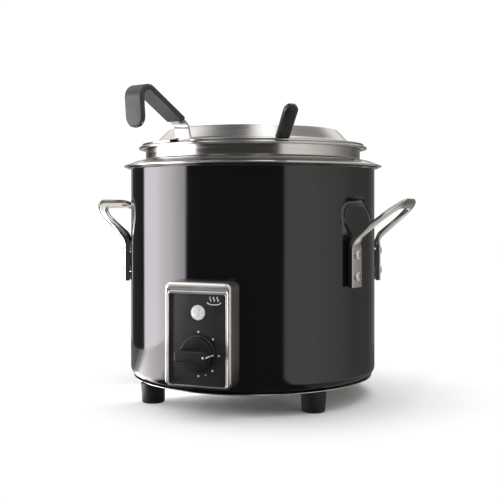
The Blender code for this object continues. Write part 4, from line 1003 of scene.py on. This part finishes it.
def channelSection(width, roundness):
    # open channel whose web is outermost; it turns from a flat strap to a half-round grip
    h = handle
    half, wall = width / 2, h["wall"]
    r = 1.6 * mm + roundness * (half * 0.8 - 1.6 * mm)
    depth = h["depth"]
    sag = min(r, depth - 0.6 * mm)
    outer = [Vector((-half, -depth + 0.3 * mm))]
    for k in range(9):
        angle = pi / 2 * k / 8
        outer.append(Vector((-half + r - r * cos(angle), -sag + sag * sin(angle))))
    inner = [Vector((-half + wall, -depth + 0.3 * mm))]
    ri, si = max(r - wall, 0.3 * mm), max(sag - wall, 0.3 * mm)
    for k in range(7):
        angle = pi / 2 * k / 6
        inner.append(Vector((-half + wall + ri - ri * cos(angle), -wall - si + si * sin(angle))))
    lipOuter = Vector((-half + wall * 0.25, -depth))
    lipInner = Vector((-half + wall * 0.75, -depth))
    across = [Vector((-p.x, p.y)) for p in outer[::-1] + [lipOuter, lipInner] + inner]
    return [lipOuter] + outer + across + inner[::-1] + [lipInner]


def handleStations():
    # (place, out, width, roundness) along one handle on +X, from leg to leg
    h = handle
    legRadius = shellRadius + h["stand"]
    legY = legRadius * sin(radians(h["legAzimuth"]))
    legX = legRadius * cos(radians(h["legAzimuth"]))
    slope = radians(h["armSlope"])
    turn = pi / 2 - slope
    legOut = Vector((cos(radians(h["legAzimuth"])), -sin(radians(h["legAzimuth"])), 0))
    armOut = Vector((sin(slope), 0, -cos(slope)))
    arm = Vector((cos(slope), 0, sin(slope)))
    half = []
    for k in range(7):
        z = h["legBottom"] + (h["bendZ"] - 10 * mm - h["legBottom"]) * k / 6
        half.append((Vector((legX, -legY, z)), legOut, h["legWidth"], 0))
    steps = 14
    for k in range(steps + 1):
        share = k / steps
        angle = turn * share
        place = Vector((legX + h["bendRadius"] * (1 - cos(angle)), -legY,
                        h["bendZ"] + h["bendRadius"] * sin(angle)))
        flat = legOut.lerp(Vector((1, 0, 0)), share).normalized()
        out = flat * cos(angle) + Vector((0, 0, -1)) * sin(angle)
        half.append((place, out, h["legWidth"] + (h["gripWidth"] - h["legWidth"]) * 0.45 * share,
                     0.25 * share))
    bendEnd = half[-1][0]
    width = half[-1][2]
    run = (shellRadius + h["reach"] - bendEnd.x) / cos(slope)
    corner = bendEnd + arm * (run - h["cornerRadius"])
    for k in range(1, 11):
        share = k / 10
        half.append((bendEnd.lerp(corner, share), armOut,
                     width + (h["gripWidth"] - width) * min(share * 1.4, 1), 0.25 + 0.75 * share))
    centre = corner + Vector((0, 1, 0)) * h["cornerRadius"]
    for k in range(1, 19):
        angle = pi / 2 * k / 18
        half.append((centre - Vector((0, 1, 0)) * h["cornerRadius"] * cos(angle)
                     + arm * h["cornerRadius"] * sin(angle), armOut, h["gripWidth"], 1))
    mirrored = [(Vector((p.x, -p.y, p.z)), Vector((o.x, -o.y, o.z)), w, r) for p, o, w, r in half[::-1]]
    return half + mirrored


def makeHandles():
    stations = handleStations()
    sides = (("handle_right", "handleRight", 90), ("handle_left", "handleLeft", -90))
    for node, name, azimuth in sides:
        place = radialPlace(azimuth)
        rings = []
        for i, (spot, out, width, roundness) in enumerate(stations):
            before = stations[max(i - 1, 0)][0]
            after = stations[min(i + 1, len(stations) - 1)][0]
            across = (after - before).normalized().cross(out).normalized()
            rings.append([place @ (spot + across * p.x + out * p.y)
                          for p in channelSection(width, roundness)])
        lofted(name, rings, finishes["handle"], "kettle", [node], 40)
        number = 0
        for side in (-1, 1):
            for z in handle["rivetHeights"]:
                number += 1
                makeHandleRivet(f"{node.replace('handle', 'rivet')}_{number}",
                                azimuth + side * handle["legAzimuth"], z)


def makeHandleRivet(node, azimuth, z):
    h = handle
    place = facingPlace(azimuth, shellRadius + h["stand"], z)
    radius, height = h["rivetRadius"], h["rivetHeight"]
    dome = [(radius * cos(pi / 2 * k / 8), height * (0.25 + 0.75 * sin(pi / 2 * k / 8)))
            for k in range(9)]
    dome[-1] = (0, height)
    turned(node.replace("_", ""), [(0, -12.2 * mm), (2.4 * mm, -12.2 * mm), (2.4 * mm, 0.3 * mm),
                                   (radius - 0.2 * mm, 0.3 * mm)] + dome,
           finishes["bright"], "kettle", [node], 40, place)


makeHandles()
print("handles made")


box = {"wall": 1.5 * mm, "cornerRadius": 7 * mm,
       "panelWidth": 68 * mm, "panelHeight": 100 * mm, "panelBottom": 16.2 * mm, "dialZ": 50.4 * mm,
       "pilotZ": 95.9 * mm, "dotRadius": 24.3 * mm, "dotAngles": (0, 46, 92, 136.5, 180),
       "smallDotAngle": 159.5, "dotSize": 1.15 * mm, "smallDotSize": 0.7 * mm,
       "shaftHole": 5.5 * mm, "pilotHole": 6.5 * mm}
frontPlace = facingPlace(0)
bezelLow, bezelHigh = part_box("bezel")
panelLow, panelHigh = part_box("control_panel")
panelFront = -panelLow.y


def makeHousing():
    b = box
    low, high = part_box("control_housing")
    middle = Vector((0, (low.z + high.z) / 2))
    width, height = high.x - low.x, high.z - low.z
    ring = [p + middle for p in roundRect(width, height, b["cornerRadius"], 10)]
    inner = [p + middle for p in roundRect(width - 2 * b["wall"], height - 2 * b["wall"],
                                           b["cornerRadius"] - b["wall"], 10)]
    front = -low.y
    housing = lofted("controlHousing", [[frontPlace @ Vector((*p, z)) for p in ring]
                                        for z in (shellRadius * 0.92, front)],
                     finishes["bezel"], "kettle", ["control_housing"])
    cutAway(housing, lofted("tool", [[frontPlace @ Vector((*p, z)) for p in inner]
                                     for z in (shellRadius * 0.8, front + 10 * mm)], None))
    cutAway(housing, cylinder(shellRadius + 0.3 * mm, -20 * mm, 200 * mm, around=256))
    makeBezel(width, height, middle)


def bezelProfile(back, front):
    # (share of the way from the outer edge to the opening, height) points
    shoulder = [(0.52 * (1 - cos(pi / 2 * k / 8)), front - 3.8 * mm * (1 - sin(pi / 2 * k / 8)))
                for k in range(9)]
    bead = [(0.72 + 0.14 * (1 - cos(pi * k / 10)), front - 1.0 * mm + 0.8 * mm * sin(pi * k / 10))
            for k in range(11)]
    return [(0.0, back)] + shoulder + [(0.62, front - 0.35 * mm)] + bead + [(1.0, back)]


def makeBezel(width, height, middle):
    # a pressed frame: rounded outer shoulder, shallow groove, inner bead round the panel
    b = box
    outer = roundRect(width, height, b["cornerRadius"], 12)
    panelMiddle = Vector((0, b["panelBottom"] + b["panelHeight"] / 2))
    opening = roundRect(b["panelWidth"], b["panelHeight"], 3 * mm, 12)
    back, front = -bezelHigh.y, -bezelLow.y
    rings = []
    for share, z in bezelProfile(back, front):
        ring = []
        for a, c in zip(outer, opening):
            spot = (a + middle).lerp(c + panelMiddle, share)
            ring.append(frontPlace @ Vector((*spot, z)))
        rings.append(ring)
    count = len(rings[0])
    verts = [v for ring in rings for v in ring]
    faces = []
    for i in range(len(rings)):
        for k in range(count):
            j = (k + 1) % count
            a, c = i * count, ((i + 1) % len(rings)) * count
            faces.append([a + k, a + j, c + j, c + k])
    newPiece("bezelFrame", verts, faces, finishes["bezel"], "kettle", ["bezel"], 50)


def makePanel():
    b = box
    back = -panelHigh.y
    width, height = panelHigh.x - panelLow.x, panelHigh.z - panelLow.z
    middle = Vector((0, (panelLow.z + panelHigh.z) / 2))
    ring = [p + middle for p in roundRect(width, height, 5 * mm, 8)]
    panel = stacked("controlPanel", ring, edgeLevels(back, panelFront, 0.2 * mm, 2), finishes["panel"],
                    "kettle", ["control_panel"], frontPlace)
    for radius, z in ((b["shaftHole"], b["dialZ"]), (b["pilotHole"], b["pilotZ"])):
        cutAway(panel, cylinder(radius, panelFront - 10 * mm, panelFront + 10 * mm,
                                frontPlace @ Matrix.Translation((0, z, 0))))
    for i, angle in enumerate(b["dotAngles"] + (b["smallDotAngle"],)):
        radius = b["dotSize"] if i < len(b["dotAngles"]) else b["smallDotSize"]
        spot = Vector((b["dotRadius"] * sin(radians(angle)),
                       b["dialZ"] + b["dotRadius"] * cos(radians(angle)), panelFront))
        turned(f"dialDot{i + 1}", [(0, 0.02 * mm), (radius, 0.02 * mm), (radius * 0.9, 0.12 * mm),
                                   (0, 0.14 * mm)], finishes["print"], "kettle", around=24,
               place=frontPlace @ Matrix.Translation(spot))
    makeSteamMark()


steamMark = {"middle": (18.6 * mm, 109.6 * mm), "spacing": 4.3 * mm, "sway": 0.8 * mm,
             "height": 5.2 * mm, "bowlRadius": 8.2 * mm, "bowlDepth": 2.6 * mm, "halfLine": 0.5 * mm}


def makeSteamMark():
    # three rising wisps over a bowl line: a plain sign for hot soup
    m = steamMark
    place = frontPlace @ Matrix.Translation((*m["middle"], panelFront))
    for i in (-1, 0, 1):
        line = [Vector((i * m["spacing"] + m["sway"] * sin(k / 12 * 2 * pi),
                        (k / 12 - 0.2) * m["height"])) for k in range(13)]
        sweepPrint(f"steamWisp{i + 2}", line, place)
    bowl = [Vector((m["bowlRadius"] * cos(pi + pi * k / 16),
                    -2.0 * mm + m["bowlDepth"] * sin(pi + pi * k / 16))) for k in range(17)]
    sweepPrint("steamBowl", bowl, place)


def sweepPrint(name, line, place):
    half = steamMark["halfLine"]
    left, right = shiftLeft(line, half), shiftLeft(line, -half)
    rings = [[place @ Vector((*a, 0.02 * mm)), place @ Vector((*a, 0.12 * mm)),
              place @ Vector((*c, 0.12 * mm)), place @ Vector((*c, 0.02 * mm))]
             for a, c in zip(left, right)]
    lofted(name, rings, finishes["print"], "kettle")


def makePilot():
    low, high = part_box("pilot_lens")
    place = frontPlace @ Matrix.Translation((0, box["pilotZ"], 0))
    radius, top = (high.x - low.x) / 2, -low.y
    seat, neck = panelFront + 0.3 * mm, box["pilotHole"] - 0.5 * mm
    turned("pilotLens", roundCorners([
        (0, -high.y), (neck, -high.y), (neck, seat), (radius, seat, 0.3 * mm),
        (radius, seat + 1.0 * mm, 0.5 * mm), (radius - 1.3 * mm, seat + 1.9 * mm, 0.8 * mm),
        (radius * 0.55, top - 0.1 * mm, 3 * mm), (0, top)], 5), finishes["lens"], "kettle",
        ["pilot_lens"], 56, place)


knobSizes = {"skirtRadius": 20.8 * mm, "skirtHeight": 2.5 * mm, "radius": 19 * mm, "face": 9.5 * mm,
             "barWidth": 11.6 * mm, "barTop": 24 * mm, "pocketRadius": 10.5 * mm, "pocket": 5 * mm,
             "lift": 0.6 * mm, "bore": 3.35 * mm, "boreDepth": 14.6 * mm, "lineWidth": 1.6 * mm,
             "lineMiddle": 16.8 * mm}


def makeKnob():
    s = knobSizes
    place = frontPlace @ Matrix.Translation((0, box["dialZ"], panelFront))
    knob = turned("knobBody", roundCorners([
        (s["pocketRadius"], s["lift"]), (s["skirtRadius"], s["lift"], 0.3 * mm),
        (s["skirtRadius"], s["lift"] + s["skirtHeight"] * 0.6, 0.5 * mm),
        (s["radius"] + 0.3 * mm, s["lift"] + s["skirtHeight"], 0.4 * mm),
        (s["radius"] - 0.3 * mm, s["face"], 1.2 * mm), (0, s["face"] + 0.2 * mm), (0, s["pocket"]),
        (s["pocketRadius"], s["pocket"])], 6), finishes["knob"], "knob", ["knob"], 96, place)
    length = 2 * s["radius"] - 1 * mm
    ring = roundRect(length, s["barWidth"], 3.5 * mm, 8)
    levels = edgeLevels(s["face"] - 3 * mm, s["barTop"], 1.2 * mm, 5)
    cutAway(knob, stacked("tool", ring, levels, None, place=place), "UNION")
    cutAway(knob, cylinder(s["bore"], 0, s["boreDepth"], place, 32))
    cutAway(knob, boxTool((2 * mm, 2.2 * mm, 12.6 * mm), (length / 2, 0, s["lineMiddle"]), place))
    # the white line runs down the end of the bar and on down the knob's side
    lines = (("knobPointer", 11.8 * mm, length / 2 - 0.5 * mm, s["lineMiddle"]),
             ("knobLine", 6 * mm, s["radius"] + 0.1 * mm, 6.4 * mm))
    for name, height, reach, middle in lines:
        line = boxTool((1 * mm, s["lineWidth"], height), (reach, 0, middle), place, 0.3 * mm)
        line.name = name
        coat(line, finishes["print"])
        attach(line, "knob")
        if name == "knobPointer":
            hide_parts("knob_pointer")
    turned("knobDot", [(0, -0.1 * mm), (1.3 * mm, -0.1 * mm), (1.2 * mm, 0.1 * mm), (0, 0.15 * mm)],
           finishes["print"], "knob", around=24,
           place=place @ Matrix.Translation((length / 2 - 3 * mm, 0, s["barTop"])))


gland = {"bore": 4.2 * mm, "neck": 8 * mm, "flange": 11.5 * mm, "inside": 6 * mm, "height": 4 * mm}


def makeGland():
    g = gland
    low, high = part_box("cord_gland")
    place = facingPlace(180, shellRadius, (low.z + high.z) / 2)
    turned("cordGland", roundCorners([
        (g["bore"], -g["inside"]), (g["neck"], -g["inside"]), (g["neck"], 0.3 * mm),
        (g["flange"], 0.3 * mm, 0.3 * mm), (g["flange"], 2.4 * mm, 0.8 * mm),
        (g["flange"] - 2 * mm, g["height"], 0.8 * mm), (g["bore"] + 1 * mm, g["height"], 0.8 * mm),
        (g["bore"], 2.6 * mm, 0.5 * mm)], 5), finishes["knob"], "kettle", ["cord_gland"], 64, place)


makeHousing()
makePanel()
makePilot()
makeKnob()
makeGland()
print("control box made")


keptFinishes = {"insulation": "wool", "heater_element": "sheath", "heater_plate": "spun",
                "heater_stud": "bright", "heater_nut": "bright", "thermostat_body": "knob",
                "thermostat_nut": "bright", "thermostat_shaft": "brass", "thermostat_bulb": "brass",
                "capillary_tube": "brass", "lead_live": "lead", "lead_neutral": "lead",
                "pilot_body": "knob", "foot_nut_1": "bright", "foot_nut_2": "bright",
                "foot_nut_3": "bright", "foot_nut_4": "bright"}
for node, finish in keptFinishes.items():
    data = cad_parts[node].data
    data.materials.clear()
    data.materials.append(finishes[finish])
print("inner pieces finished:", len(keptFinishes))
